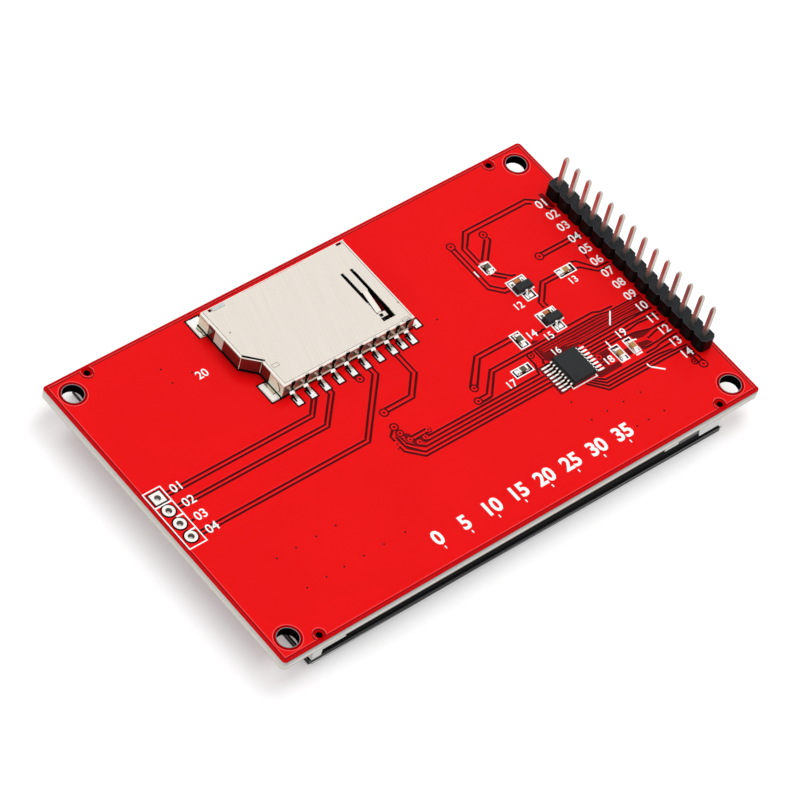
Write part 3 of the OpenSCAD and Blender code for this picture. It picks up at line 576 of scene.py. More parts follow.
def filmMaterial():
    # hard-coated polyester touch film: black glossy surround, a bluer picture area behind it
    tree, shader = newMaterial("hardCoatedFilm", {"Roughness": 0.12, "Specular IOR Level": 0.5})
    coords = addNode(tree, "TexCoord").outputs["Object"]
    middle = [v * mm for v in film["pictureMiddle"]] + [0]
    spread = vectorCalc(tree, "ABSOLUTE", vectorCalc(tree, "SUBTRACT", coords, middle))
    axes = axesOf(tree, spread)
    inside = [calc(tree, "LESS_THAN", axes[i], film["pictureSize"][i] * mm / 2) for i in range(2)]
    around = blend(tree, clouds(tree, coords, film["borderCloud"]), *film["border"])
    feed(shader, {"Base Color": blend(tree, calc(tree, "MULTIPLY", *inside), around, film["picture"])})


filmMaterial()

bySlot = {
    "board": "solderMaskOnLaminate",
    "tinned_copper": "tinnedCopper",
    "header_plastic": "mouldedNylon",
    "solder": "setSolder",
    "pin_metal": "tinnedPin",
    "socket_steel": "brushedStainless",
    "socket_plastic": "mouldedNylon",
    "contact_metal": "tinnedStrip",
    "package_epoxy": "mouldedEpoxy",
    "tinned_lead": "tinnedStrip",
    "capacitor_ceramic": "firedCeramic",
    "resistor_coat": "glazedCoat",
    "touch_film": "hardCoatedFilm",
    "panel_glass": "polishedGlass",
    "black_tape": "blackTape",
    "polariser": "polarisingFilm",
    "white_plastic": "whiteFrame",
    "diffuser_film": "diffusingFilm",
    "light_guide_acrylic": "clearAcrylic",
    "reflector_film": "reflectingFilm",
    "lamp_strip": "lampStrip",
    "driver_silicon": "groundSilicon",
    "polyimide_flex": "amberFilm",
    "foam_tape": "foamTape",
}
for subpart in frame["record"]["subparts"]:
    paint(nodes[subpart["node"]], bySlot[subpart["material_slot"]])
print("materials ready")


# solder mask: dark fields, the lines beside the tracks, and vias

tracks = {
    "width": 0.4,
    "rise": 0.012,
    "paths": (
        # from the card header to the card socket
        ((-40.8, 3.86), (-15.0, 3.86), (-12.7, 6.2)),
        ((-40.8, 3.2), (-14.8, 3.2), (-11.95, 6.1)),
        ((-40.8, 1.32), (-14.3, 1.32), (-10.4, 5.25), (-10.4, 6.25)),
        ((-40.8, 0.68), (-14.05, 0.68), (-9.55, 5.15), (-9.55, 6.25)),
        ((-40.8, -1.85), (-40.2, -1.85)),
        ((-40.8, -3.82), (-11.05, -3.82), (-2.7, 4.75), (-2.7, 6.25)),
        ((-40.8, -4.48), (-10.75, -4.48), (-1.95, 4.35), (-1.95, 6.25)),
        ((-5.4, 6.25), (-5.4, 5.4)),
        ((-4.3, 6.25), (-4.3, 5.4)),
        ((2.25, 6.25), (2.25, 2.0), (-0.6, -0.95), (-5.2, -0.95)),
        ((3.0, 6.25), (3.0, 1.6), (-0.25, -1.7), (-5.2, -1.7)),
        # round the vias in the middle and along to the controller
        ((-6.7, -4.6), (-7.6, -5.3), (-7.6, -6.3)),
        ((-7.6, -7.3), (-7.6, -8.4), (-5.4, -10.66), (18.7, -10.66)),
        ((-6.9, -5.9), (-6.9, -7.8), (-5.0, -10.02), (18.7, -10.02)),
        ((-6.4, -6.2), (-6.4, -7.5), (-5.7, -8.2)),
        ((-5.2, -8.5), (-4.4, -9.34), (18.7, -9.34)),
        ((-3.9, -8.3), (-3.3, -8.68), (18.7, -8.68)),
        ((-2.8, -8.02), (18.4, -8.02)),
        ((-5.2, -6.85), (-2.4, -6.85)),
        ((-5.1, -7.55), (-2.4, -7.5)),
        ((7.9, -4.6), (12.2, -0.5), (18.8, -0.5)),
        ((8.75, -5.2), (12.6, -1.25), (18.8, -1.25)),
        ((7.7, -6.7), (9.3, -6.7), (12.5, -3.6), (25.4, -3.6)),
        ((8.0, -7.5), (9.7, -7.4), (12.75, -4.27), (20.2, -4.27)),
        ((18.9, -4.5), (18.9, -6.3), (18.2, -8.0)),
        ((20.45, -4.27), (20.45, -6.3), (20.0, -7.0)),
        # from the controller to the pins
        ((27.7, -3.4), (32.6, -3.4), (33.6, -3.9), (36.0, -4.05)),
        ((20.5, -4.22), (32.5, -4.14), (34.6, -4.58), (41.0, -4.62)),
        ((27.0, -6.93), (36.0, -6.9), (41.0, -7.35)),
        ((27.3, -7.54), (33.0, -7.48), (36.0, -7.35), (41.0, -7.35)),
        ((27.3, -8.16), (33.0, -8.14), (36.0, -8.05), (41.0, -8.2)),
        ((27.3, -8.77), (35.5, -8.72), (37.0, -8.5), (41.0, -8.9)),
        ((27.3, -9.38), (32.5, -9.32), (35.6, -9.64), (38.0, -10.3), (41.0, -10.3)),
        ((23.0, -13.0), (25.3, -15.66), (36.0, -15.68), (41.0, -15.8)),
        ((23.6, -13.0), (25.6, -15.06), (36.0, -15.06), (41.0, -15.36)),
        ((24.2, -13.0), (25.8, -14.47), (36.0, -14.5), (38.5, -14.9)),
        ((24.7, -13.0), (26.1, -13.92), (36.0, -13.95), (41.0, -13.85)),
        ((34.5, -13.4), (36.4, -13.4), (37.5, -13.1), (41.0, -13.0)),
        ((35.2, -12.6), (37.5, -12.6), (41.0, -12.2)),
        ((36.6, -11.4), (38.4, -11.0), (41.0, -10.85)),
        # upper right
        ((21.95, 16.5), (21.95, 8.0), (23.75, 6.15), (24.7, 6.1)),
        ((22.68, 16.5), (22.68, 8.35), (24.1, 6.85), (24.7, 6.85)),
        ((23.6, 12.2), (23.6, 15.85), (25.9, 18.4), (38.05, 18.4), (39.8, 17.1), (39.8, 15.4), (40.6, 14.6)),
        ((24.35, 12.6), (24.35, 15.65), (26.3, 17.65), (37.7, 17.65), (38.4, 17.2)),
        ((27.75, 15.6), (24.7, 12.6)),
        ((28.45, 15.6), (28.45, 15.1), (25.5, 12.2)),
        ((24.0, 9.85), (25.8, 8.1)),
        ((24.9, 9.9), (26.7, 8.15), (27.4, 8.0)),
        ((33.3, 9.23), (41.0, 9.23)),
        ((33.3, 8.52), (41.0, 8.52)),
        ((32.8, 5.05), (29.75, 5.05), (26.95, 2.2), (26.95, 0.95)),
        ((32.8, 4.36), (30.1, 4.36), (27.7, 1.86), (27.7, 0.95)),
        ((36.0, 5.6), (36.9, 5.27), (38.9, 2.7), (41.2, 2.65)),
        ((36.07, 4.2), (36.6, 4.1), (38.6, 2.05), (41.1, 2.0)),
        ((39.4, 7.5), (38.9, 4.6)),
        ((40.2, -17.7), (40.2, -18.9)),
        ((41.0, -17.7), (41.0, -18.9)),
    ),
    "fields": (  # mask with no copper below, and painted shade beside the parts
        ((-5.9, -6.2), (-6.4, -7.6), (-5.7, -8.5), (-4.5, -9.5), (18.7, -9.5), (18.7, -8.2), (-2.0, -8.2),
         (-1.6, -7.0), (-2.4, -6.9), (-4.7, -6.7), (-5.4, -5.9)),
        ((-6.9, -5.5), (-6.6, -5.6), (-6.55, -6.3), (-6.85, -7.25), (-6.7, -7.9), (-6.1, -8.85),
         (-5.3, -10.0), (-7.0, -8.3), (-7.2, -7.1), (-7.2, -5.9)),
        ((20.55, -4.1), (32.6, -4.05), (34.8, -4.5), (41.0, -4.5), (41.0, -7.0), (21.0, -7.0), (20.55, -6.4)),
        ((20.95, -3.62), (20.95, -2.9), (21.6, -2.85), (22.8, -3.62)),
        ((25.5, -13.35), (25.5, -12.35), (30.0, -12.35), (30.0, -13.35)),
        ((27.2, -12.3), (28.2, -12.3), (28.9, -11.2), (30.0, -10.5), (30.0, -9.7), (27.2, -9.7)),
        ((32.0, -12.5), (32.0, -11.2), (32.8, -11.2), (32.8, -12.5)),
        ((34.5, -12.8), (34.5, -11.3), (36.3, -11.6), (36.9, -12.5), (36.2, -12.9)),
        ((34.6, -10.6), (34.6, -9.5), (36.6, -9.9), (38.0, -10.6), (36.0, -10.9)),
        ((18.55, -12.65), (18.55, -11.0), (18.75, -7.1), (20.0, -7.1), (20.0, -12.65)),
        ((7.0, -8.0), (7.0, -7.5), (9.5, -7.5), (9.5, -8.0)),
        ((39.6, -17.7), (39.6, -15.9), (41.0, -15.9), (41.0, -17.7)),
        ((40.4, 18.0), (40.4, 14.8), (41.2, 14.8), (41.2, 18.0)),
    ),
    "bright": (  # single tracks that cross those fields
        ((21.2, -4.5), (32.6, -4.44), (34.6, -4.8), (41.0, -4.85)),
        ((21.4, -4.92), (27.0, -4.98), (33.0, -4.98), (35.0, -5.16), (41.0, -5.24)),
        ((21.4, -5.28), (25.0, -5.4), (27.0, -5.48), (33.0, -5.44), (35.0, -5.56), (41.0, -5.65)),
        ((23.2, -5.76), (25.0, -5.72), (27.0, -6.03), (36.0, -6.0), (41.0, -6.05)),
        ((25.2, -6.2), (27.0, -6.46), (36.0, -6.46), (41.0, -6.7)),
        ((27.2, -10.56), (27.8, -10.56)),
        ((27.2, -11.3), (28.3, -11.3)),
        ((27.2, -12.02), (28.5, -12.02)),
    ),
    "brightWidth": 0.17,
}

vias = {
    "ringWidth": 0.24,
    "rings": (
        (-4.85, 5.05, 0.6), (-5.7, -1.5, 0.65), (-6.1, -4.25, 0.6), (-6.1, -5.55, 0.55),
        (8.35, -5.0, 0.6), (7.35, -7.1, 0.6), (19.4, -4.8, 0.5),
        (22.36, 17.05, 0.65), (28.1, 16.35, 0.6), (32.75, 8.8, 0.65), (39.75, -18.4, 0.45),
        (40.6, -19.4, 0.65),
    ),
    "middleRadius": 0.2,
    "ringed": ((-5.56, -7.18), (-4.67, -8.24), (-3.36, -8.01), (-2.2, -7.17)),
    "ringedRadius": 0.42,
    "ringedTracks": (
        ((-5.56, -7.18), (-2.2, -7.17)),
        ((-4.67, -8.24), (-4.0, -8.98), (18.7, -9.0)),
        ((-3.36, -8.01), (-3.0, -8.34), (18.7, -8.36)),
        ((-6.1, -5.55), (-6.4, -6.8), (-6.5, -7.7), (-5.0, -9.7), (18.7, -9.68)),
    ),
    "ringedWidth": 0.42,
    "ringedRise": 0.006,
    "brightRing": (27.9, -10.3, 0.36),
    "brightRingWidth": 0.26,
    "dots": (
        (-8.05, -7.6), (-7.65, -6.85),
        (-34.6, -13.2), (-31.2, -13.2), (-27.6, -13.2), (-24.1, -13.2),
        (-34.1, -19.3), (-30.7, -19.3), (-27.5, -19.3), (-24.0, -19.3), (-20.35, -19.3), (-16.5, -19.3),
        (19.4, -18.4), (22.4, -18.4), (25.6, -18.4), (28.9, -18.4),
        (24.35, -22.8), (26.6, -22.8), (29.7, -22.8),
        (18.9, -14.4), (11.8, 7.6), (-28.3, 21.35), (-28.35, 18.6), (-24.8, 18.6),
    ),
    "dotRadius": 0.16,
    "crescent": (-0.05, 0.07, 0.22),
}

rises = {  # how far each plate stands above the board, so that no two share a face
    "field": 0.004,
    "trace": 0.007,
    "middle": 0.008,
    "deep": 0.009,
    "dot": 0.012,
    "copper": 0.06,
}

bm = bmesh.new()
for field in tracks["fields"]:
    addPatch(bm, [field], rises["field"])
finishPiece(bm, "maskFields", "maskShade")

bm = bmesh.new()
addStrokes(bm, tracks["paths"], tracks["width"], tracks["rise"])
rings = [circle(*ring) for ring in vias["rings"]]
addStrokes(bm, rings, vias["ringWidth"], tracks["rise"], closed=True)
for x, y, radius in vias["rings"]:
    addPatch(bm, [circle(x, y, vias["middleRadius"], count=12)], rises["middle"])
finishPiece(bm, "maskGrooves", "maskGrooveShade")

# painted shade: a nearly black dot in each via hole, and beside it a pink crescent of painted highlight
bm = bmesh.new()
for x, y in vias["dots"] + vias["ringed"]:
    addPatch(bm, [circle(x, y, vias["dotRadius"], count=12)], rises["dot"])
finishPiece(bm, "viaDots", "maskDeepShade")
bm = bmesh.new()
dx, dy, radius = vias["crescent"]
for x, y in vias["dots"] + vias["ringed"]:
    addPatch(bm, [circle(x + dx, y + dy, radius, count=12)], rises["deep"])
finishPiece(bm, "viaGlints", "maskSheen")

bm = bmesh.new()
addStrokes(bm, tracks["bright"], tracks["brightWidth"], tracks["rise"])
addStrokes(bm, [circle(*vias["brightRing"])], vias["brightRingWidth"], tracks["rise"], closed=True)
for x, y in vias["ringed"]:
    addPatch(bm, [circle(x, y, vias["ringedRadius"], count=16)], rises["trace"])
addStrokes(bm, vias["ringedTracks"], vias["ringedWidth"], vias["ringedRise"])
finishPiece(bm, "maskTraces", "maskTrace")

# the groove along the board's edge, drawn round the small holes, in the deep red that carries painted shade
edgeLine = {
    "in": 0.62,
    "width": 0.15,
    "landRadius": 0.95,
    "steps": 16,
}


def edgeLoop(inset, bulge):  # round the board at this inset, with a half-circle inwards at each small hole
    x, y = boardHigh.x / mm - inset, boardHigh.y / mm - inset
    holeX, holeY = board["smallHole"]
    points = []
    for sideX, sideY in ((1, 1), (-1, 1), (-1, -1), (1, -1)):
        arc = []
        reach = math.sqrt(max(bulge * bulge - (y - holeY) ** 2, 0))
        start = math.atan2(y - holeY, reach)
        for i in range(edgeLine["steps"] + 1):
            turn = start - (math.pi + 2 * start) * i / edgeLine["steps"]
            arc.append((sideX * (holeX + bulge * math.cos(turn)), sideY * (holeY + bulge * math.sin(turn))))
        quarter = [(sideX * x, sideY * y)] + arc
        points += quarter if sideX * sideY > 0 else quarter[::-1]
    return points


bm = bmesh.new()
outer = edgeLoop(edgeLine["in"], edgeLine["landRadius"])
addStrokes(bm, [outer], edgeLine["width"], tracks["rise"], closed=True)
finishPiece(bm, "edgeGroove", "maskGrooveShade")

# the thin glints on one side of the grooves, and the rims of the fixing holes
glints = {
    "shift": (0.17, 0.19),
    "width": 0.12,
    "rise": 0.01,
    "ringAt": 2.13,
    "rimFrom": 1.6,
    "rimTo": 1.68,
    "sides": 36,
}


def shifted(path):
    return [(x + glints["shift"][0], y + glints["shift"][1]) for x, y in path]


def fixingCircles(radius):
    x, y = fixingHole
    return [circle(sideX * x, sideY * y, radius, glints["sides"]) for sideX in (-1, 1) for sideY in (-1, 1)]


bm = bmesh.new()
addStrokes(bm, [shifted(outer)], glints["width"], glints["rise"], closed=True)
addStrokes(bm, fixingCircles(glints["ringAt"]), glints["width"], glints["rise"], closed=True)
finishPiece(bm, "edgeGlints", "maskGlint")
bm = bmesh.new()
addStrokes(bm, [shifted(path) for path in tracks["paths"]], glints["width"], glints["rise"])
finishPiece(bm, "grooveGlints", "maskSheen")
bm = bmesh.new()
for loops in zip(fixingCircles(glints["rimTo"]), fixingCircles(glints["rimFrom"])):
    addPatch(bm, loops, rises["middle"])
finishPiece(bm, "holeRims", "cutRim")

# white print: outlines and plain numbers

printed = {
    "line": 0.28,
    "fine": 0.2,
    "rise": 0.02,
    "outlines": (
        (-43.9, -5.6, -40.9, 5.15),
        (23.63, 10.2, 25.32, 12.05),
        (32.85, 3.93, 35.9, 5.45),
        (18.97, -3.2, 20.66, -0.35),
        (14.92, -6.97, 18.15, -5.52),
        (30.25, -12.82, 31.8, -9.9),
        (32.97, -12.55, 34.22, -9.85),
        (24.98, 4.75, 28.2, 7.5),
        (24.85, -2.0, 28.2, 0.6),
    ),
    "lines": (
        ((-44.0, 2.35), (-40.8, 2.35)),
        ((-42.1, -0.28), (-40.9, -0.28)),
        ((-42.2, -3.05), (-40.9, -3.05)),
        ((25.7, 4.7), (25.7, 3.2), (27.6, 3.2), (27.6, 4.7)),
        ((25.7, -2.1), (25.7, -3.5), (27.5, -3.5), (27.5, -2.1)),
        ((20.85, -12.1), (20.85, -12.75), (25.45, -12.75), (25.45, -12.1)),
        ((30.7, -8.6), (30.7, -9.8)),
        ((35.1, -4.6), (33.3, -6.66)),
        ((33.25, -14.95), (33.3, -15.6), (35.0, -17.2)),
        ((33.0, -12.95), (34.2, -12.95)),
        ((34.2, -10.5), (35.0, -10.7)),
    ),
    "numbers": (
        ("1", 21.9, 10.5, 1.2), ("12", 23.0, 2.65, 1.25), ("13", 33.35, 2.2, 1.2), ("14", 21.1, -2.5, 1.35),
        ("15", 23.2, -4.0, 1.25), ("16", 22.3, -6.65, 1.2), ("17", 12.6, -7.9, 1.3), ("18", 27.9, -12.1, 1.3),
        ("19", 32.7, -9.3, 1.4), ("20", -24.7, 17.0, 1.4),
    ),
    "faceShare": 0.72,  # the height of the built-in face's figures, of its size
    "halfThick": 0.012,
    "numberRise": 0.014,
    "boldness": 0.02,
    "cardRows": (3.15, 0.36, -2.39, -4.95),
    "cardAt": -40.0,
    "pinRowsAt": 40.8,
    "numberHeight": 1.5,
    "scaleFrom": (-13.2, -23.6),
    "scaleStep": 5,
    "scaleCount": 8,
    "scaleHeight": 2.35,
    "scaleBoldness": 0.1,
    "tick": (0.5, 1.0),
}


def addNumber(bm, text, x, y, height, boldness=printed["boldness"], align="LEFT"):  # a plain printed number
    curve = bpy.data.curves.new("number", "FONT")
    curve.body = text
    curve.size = height * mm / printed["faceShare"]
    curve.align_x = align
    curve.resolution_u = 3
    curve.extrude = printed["halfThick"] * mm
    curve.offset = boldness * mm
    addCurve(bm, curve, Matrix.Translation((x * mm, y * mm, (boardTop + printed["numberRise"]) * mm)))


bm = bmesh.new()
outlines = [rectangle(*corners) for corners in printed["outlines"]]
addStrokes(bm, outlines, printed["line"], printed["rise"], closed=True)
addStrokes(bm, printed["lines"], printed["line"], printed["rise"])
x0, y0 = printed["scaleFrom"]
marks = [x0 + i * printed["scaleStep"] for i in range(printed["scaleCount"])]
ticks = [[(x, y0 - gap) for gap in printed["tick"]] for x in marks]
addStrokes(bm, ticks, printed["fine"], printed["rise"])
finishPiece(bm, "printedLines", "printInk")

bm = bmesh.new()
for i, y in enumerate(printed["cardRows"]):
    addNumber(bm, "%02d" % (i + 1), printed["cardAt"], y, printed["numberHeight"])
for i, pin in enumerate(sorted(name for name in nodes if name.startswith("header_pin_"))):
    pinLow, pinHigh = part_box(pin)
    y = (pinLow.y + pinHigh.y) / 2 / mm - printed["numberHeight"] / 2
    addNumber(bm, "%02d" % (i + 1), printed["pinRowsAt"], y, printed["numberHeight"], align="RIGHT")
for number in printed["numbers"]:
    addNumber(bm, *number)
for i, x in enumerate(marks):
    text = str(i * printed["scaleStep"])
    addNumber(bm, text, x, y0, printed["scaleHeight"], printed["scaleBoldness"], "CENTER")
finishPiece(bm, "printedNumbers", "printInk")

# lands and solder at the small parts

parts = {
    "chips": (  # place, and whether it lies across the board
        (34.2, 4.7, False), (30.95, -11.5, True), (33.5, -11.45, True), (24.45, 11.15, True),
        (19.8, -1.75, True), (16.5, -6.2, False),
    ),
    "chipLand": (0.8, 0.95, 1.05),
    "chipRise": 0.32,
    "chipEdge": 0.07,
    "chipLean": 0.28,
    "chipShrink": 0.6,
    "deepInset": 0.1,
    "deep": (
        (25.8, 3.3, 27.5, 4.9), (25.8, -3.4, 27.4, -1.9), (19.9, -12.5, 21.4, -7.1),
        (25.9, -12.35, 26.6, -7.1),
    ),
    "sotAt": ((26.5, 5.4), (26.5, -1.35)),
    "sotLands": (
        (-0.85, 1.35, 1.0, 1.1), (1.15, 1.35, 0.75, 1.1), (0.3, -1.45, 0.85, 1.0), (-0.4, -1.5, 0.42, 1.0),
    ),
    "sotRise": 0.14,
    "sotEdge": 0.05,
    "copper": ((26.2, 6.65, 27.2, 7.3), (26.2, -0.1, 27.05, 0.5), (26.75, 4.35, 27.2, 4.8)),
    # a dark streak drawn in the nearly black mask
    "darkStreak": ((22.8, -2.35), (23.1, -2.05), (23.6, -2.2), (24.1, -2.0), (24.6, -2.15)),
    "darkStreakWidth": 0.34,
    "controllerAt": (23.2, -9.9),
    "leads": 8,
    "leadPitch": 0.65,
    "leadLand": (3.15, 4.2, 0.38),
    "leadRise": 0.1,
    "leadEdge": 0.04,
    "leadLean": 0.1,
    "landShrink": 0.8,
}


def around(x, y, wide, deep):  # the low and high corner of a rectangle about this middle
    return x - wide / 2, y - deep / 2, x + wide / 2, y + deep / 2


# painted shade: nearly black mask inside the small parts' outlines and under and beside the small-outline
# parts and the controller; also a dark streak
bm = bmesh.new()
for corners in printed["outlines"][1:]:
    addPatch(bm, [rectangle(*corners, inset=parts["deepInset"])], rises["deep"])
for corners in parts["deep"]:
    addPatch(bm, [rectangle(*corners)], rises["deep"])
addStrokes(bm, [parts["darkStreak"]], parts["darkStreakWidth"], tracks["rise"])
finishPiece(bm, "maskUnderParts", "maskDeepShade")

bm = bmesh.new()
for corners in parts["copper"]:
    addPatch(bm, [rectangle(*corners)], rises["copper"])
finishPiece(bm, "bareCopperSpots", "bareCopper")

bm = bmesh.new()
along, landLong, landWide = parts["chipLand"]
for x, y, across in parts["chips"]:
    for side in (-1, 1):
        dx, dy = (0, side * along) if across else (side * along, 0)
        wide, deep = (landWide, landLong) if across else (landLong, landWide)
        lean = [-shift * parts["chipLean"] for shift in (dx, dy)]
        corners = around(x + dx, y + dy, wide, deep)
        addLand(bm, *corners, parts["chipRise"], parts["chipEdge"], lean, parts["chipShrink"])
for x, y in parts["sotAt"]:
    for dx, dy, wide, deep in parts["sotLands"]:
        corners = around(x + dx, y + dy, wide, deep)
        addLand(bm, *corners, parts["sotRise"], parts["sotEdge"], shrink=parts["landShrink"])
x, y = parts["controllerAt"]
inner, outer, wide = parts["leadLand"]
for i in range(parts["leads"]):
    rowY = y + (i - (parts["leads"] - 1) / 2) * parts["leadPitch"]
    for side in (-1, 1):
        start, end = sorted((x + side * inner, x + side * outer))
        corners = (start, rowY - wide / 2, end, rowY + wide / 2)
        lean = (-side * parts["leadLean"], 0)
        addLand(bm, *corners, parts["leadRise"], parts["leadEdge"], lean, parts["landShrink"])
finishPiece(bm, "solderedLands", "setSolder", smooth=True)

# the card socket's lands and marks, and the card header's holes

socket = {
    "lands": ((-20.0, 23.0, -17.8, 26.3), (-18.3, 8.3, -16.0, 11.7), (8.1, 7.9, 9.2, 9.3)),
    "landRise": 0.06,
    "landShrink": 0.95,
    "blockEdge": 0.03,
    "rim": 0.24,
    "footLand": (0.5, 5.9, 7.4),
    "marks": (
        rectangle(-16.0, 11.6, -14.9, 12.2), rectangle(5.4, 8.4, 6.6, 8.9),
        circle(-17.4, 19.9, 0.12, count=10), circle(7.0, 11.6, 0.12, count=10),
    ),
    "markWidth": 0.09,
    "markRise": 0.008,
    "outline": (
        (7.525, 24.9), (7.525, 8.2), (-16.775, 8.2), (-16.775, 13.3), (-18.925, 15.45), (-18.925, 24.9),
    ),
    "foldGlint": (0.14, 8.16, 0.075),  # inset, level and radius of a thread along the outline
    "foldShades": ((0.0, 7.86, 0.035), (0.4, 8.295, 0.035)),
    "wallFoot": (0.0, 5.69, 0.17),
    "mouthGlint": ((-18.9, 24.9, 8.28), (7.5, 24.9, 8.28)),
    "mouthGlintRadius": 0.06,
    "bendGlints": (5.9, 8.0),
    "ledge": ((0.42, 8.12, 6.02), (2.08, 8.2, 6.42)),
    "ledgeEdge": 0.02,
    "notch": ((-0.42, 8.12, 7.3), (0.18, 8.42, 8.2)),
    "notchEdge": 0.04,
    "wedge": ((-0.42, 7.95), (0.06, 7.95), (-0.22, 6.5), (-0.42, 6.6)),
    "wedgeLevels": (5.6, 5.668),
    "slot": ((-18.6, 15.76, 8.25), (-16.24, 13.32, 8.25)),
    "slotRadius": 0.15,
    "window": ((-16.84, 9.55, 7.7), (-16.84, 8.85, 7.0), (-16.84, 8.9, 6.3)),
    "lineRadius": 0.05,
    "mouthDark": ((-17.725, 24.3, -17.125, 24.88), (5.925, 24.35, 6.925, 24.88)),
    "mouthDarkLevels": (7.6, 8.05),
    "frosted": (
        ((-18.25, 8.35, 5.48), (-17.45, 11.6, 5.74)), ((-17.5, 8.35, 5.48), (-16.95, 9.25, 5.74)),
        ((-20.0, 22.9, 5.48), (-19.45, 26.2, 5.74)),
    ),
    "footLine": (
        (-19.5, 24.5, 5.76), (-19.55, 23.9, 5.76), (-19.3, 23.5, 5.76), (-19.5, 22.95, 5.76),
        (-19.0, 22.8, 5.76),
    ),
    "lipPlate": ((-17.05, 24.2, 8.28), (-14.95, 24.86, 8.335)),
    "lipLine": (0.07, 0.012, 8.305),
}
cardHoles = {
    "padHalf": 0.95,
    "pitch": 2.54,
    "rimHalf": 1.19,
    "rimRadius": 1.2,
    "rimInner": 0.8,
    "depth": 0.5,
    "radii": (0.3, 0.49),
}
bm = bmesh.new()
landShape = (socket["landRise"], socket["blockEdge"], (0, 0), socket["landShrink"])
half, near, far = socket["footLand"]
contacts = ["card_contact_%02d" % (i + 1) for i in range(9)] + ["card_detect_contact"]
boxes = [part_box(contact) for contact in contacts]
feet = [(low.x + high.x) / 2 / mm for low, high in boxes]
lands = list(socket["lands"]) + [(x - half, near, x + half, far) for x in feet]
for corners in lands:
    addLand(bm, *corners, *landShape)
finishPiece(bm, "socketLands", "setSolder")
bm = bmesh.new()
for low, high in socket["frosted"]:
    addBlock(bm, low, high, socket["blockEdge"])
finishPiece(bm, "frostedSolder", "foldShine")

# painted shade: a nearly black rim round each socket land and each card header pad
bm = bmesh.new()
for corners in lands:
    addPatch(bm, [rectangle(*corners, inset=-socket["rim"])], rises["deep"])
padsLow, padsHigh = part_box("card_header_pads")
padX = (padsLow.x + padsHigh.x) / 2 / mm
padY = [padsHigh.y / mm - cardHoles["padHalf"] - cardHoles["pitch"] * i for i in range(4)]
half = cardHoles["rimHalf"]
rims = [rectangle(padX - half, padY[0] - half, padX + half, padY[0] + half)]
rims += [circle(padX, y, cardHoles["rimRadius"]) for y in padY[1:]]
for y, rim in zip(padY, rims):
    addPatch(bm, [rim, circle(padX, y, cardHoles["rimInner"])], rises["deep"])
finishPiece(bm, "landRims", "maskDeepShade")

bm = bmesh.new()
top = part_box("card_socket_shell")[1].z / mm
addStrokes(bm, socket["marks"], socket["markWidth"], socket["markRise"], top, closed=True)
finishPiece(bm, "pressedMarks", "pressedMarkShade")


def addWallThread(bm, inset, level, radius):  # a thread along the socket's walls
    turn = math.tan(math.pi / 8) * inset
    moves = ((-inset, 0), (-inset, inset), (inset, inset), (inset, turn), (inset, turn), (inset, 0))
    path = [(x + dx, y + dy, level) for (x, y), (dx, dy) in zip(socket["outline"], moves)]
    addThreads(bm, [path], radius)


def addBeside(bm, x, corners, edge):  # a block with its corners given from a contact's middle
    low, high = [(x + corner[0],) + corner[1:] for corner in corners]
    addBlock(bm, low, high, edge)


bm = bmesh.new()
addWallThread(bm, *socket["foldGlint"])
addThreads(bm, [socket["mouthGlint"]], socket["mouthGlintRadius"])
finishPiece(bm, "foldGlints", "foldShine")
bm = bmesh.new()
for line in socket["foldShades"]:
    addWallThread(bm, *line)
finishPiece(bm, "foldShades", "foldShade")
# painted highlights: light lines up the wall's two bends, and a pale strip on the wall beside each contact
bm = bmesh.new()
low, high = socket["bendGlints"]
bends = socket["outline"][3:5]
addThreads(bm, [(bend + (low,), bend + (high,)) for bend in bends], socket["lineRadius"])
for x in sorted(feet)[:9]:
    addBeside(bm, x, socket["ledge"], socket["ledgeEdge"])
finishPiece(bm, "wallGlints", "steelGlint")
# painted shade: the shadow line under the walls, the slot, the tab's window, a line by the rear foot and
# round the lip, the notches over the contacts and the dark of the mouth
bm = bmesh.new()
addWallThread(bm, *socket["wallFoot"])
addThreads(bm, [socket["slot"]], socket["slotRadius"])
addThreads(bm, [socket["window"], socket["footLine"]], socket["lineRadius"])
low, high = socket["lipPlate"]
addStrokes(bm, [rectangle(*low[:2], *high[:2])], *socket["lipLine"], closed=True)
for x in feet:
    addBeside(bm, x, socket["notch"], socket["notchEdge"])
for corners in socket["mouthDark"]:
    addPlate(bm, [rectangle(*corners)], *socket["mouthDarkLevels"])
finishPiece(bm, "socketShade", "socketShadeDark")
bm = bmesh.new()
addBlock(bm, low, high, socket["ledgeEdge"])
finishPiece(bm, "mouthLip", "lipSteel")
# painted reflections: a dark wedge on each contact's foot
bm = bmesh.new()
for x in feet:
    addPlate(bm, [[(x + dx, y) for dx, y in socket["wedge"]]], *socket["wedgeLevels"])
finishPiece(bm, "contactShade", "socketShadeDark")

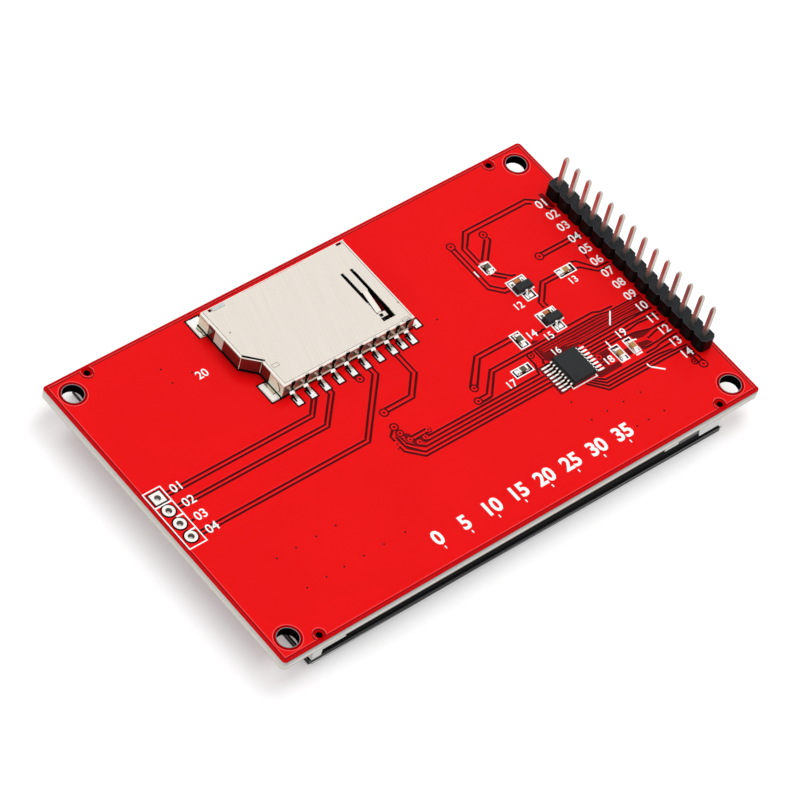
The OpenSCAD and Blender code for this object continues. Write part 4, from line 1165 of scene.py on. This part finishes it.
bm = bmesh.new()
depth = cardHoles["depth"]
low, high = cardHoles["radii"]
cone = {"radius1": low * mm, "radius2": high * mm, "depth": depth * mm, "segments": 24, "cap_ends": False}
for y in padY:
    place = Matrix.Translation((padX * mm, y * mm, (boardTop - depth / 2) * mm))
    bmesh.ops.create_cone(bm, matrix=place, **cone)
finishPiece(bm, "cardHoleWalls", "holeTin", smooth=True)

# painted highlights along the edges round the top of the pin housing

housingEdge = {
    "radius": 0.035,
    "reach": 0.01,
    "level": 0.9,
}
bm = bmesh.new()
housing = bmesh.new()
housing.from_mesh(nodes["header_housing"].data)
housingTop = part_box("header_housing")[1].z
rims = []
for edge in housing.edges:
    below = max(abs(vert.co.z - housingTop) for vert in edge.verts)
    steepest = min(abs(face.normal.z) for face in edge.link_faces)
    if below < housingEdge["reach"] * mm and steepest < housingEdge["level"]:
        rims.append([[v / mm for v in vert.co] for vert in edge.verts])
housing.free()
addThreads(bm, rims, housingEdge["radius"])
finishPiece(bm, "housingEdgeGlints", "nylonEdgeGlint")

# the panel's ends, painted shade on a recess in its front, and a painted highlight along the glass edge under
# the front of the board

panel = {
    "whites": (
        ((-38.9, -27.46, 3.3), (-33.2, -27.32, 3.88), -0.4),
        ((-38.85, -27.2, 1.42), (-37.1, -20.5, 3.5), 0.0),
        ((-38.85, 23.0, 1.42), (-37.1, 27.2, 3.5), 0.0),
        ((26.4, -27.46, 3.15), (29.1, -27.32, 3.75), 0.0),
        ((33.6, -27.46, 1.9), (37.6, -27.32, 3.8), -0.5),
    ),
    "tape": ((29.4, -27.44, 2.9), (33.4, -27.32, 3.75), -0.3),
    "edge": 0.05,
    "glassLine": ((-38.92, -22.0, 0.98), (-38.92, -27.49, 0.98), (38.4, -27.49, 0.98)),
    "glassRadius": 0.05,
}

bm = bmesh.new()
for low, high, lean in panel["whites"]:
    addBlock(bm, low, high, panel["edge"], (lean, 0))
finishPiece(bm, "panelEnds", "whiteFrame")
bm = bmesh.new()
low, high, lean = panel["tape"]
addBlock(bm, low, high, panel["edge"], (lean, 0))
finishPiece(bm, "panelRecessShade", "frameRecessShade")
bm = bmesh.new()
addThreads(bm, [panel["glassLine"]], panel["glassRadius"])
finishPiece(bm, "glassEdgeGlintLine", "glassEdgeGlint")

print("pieces ready")
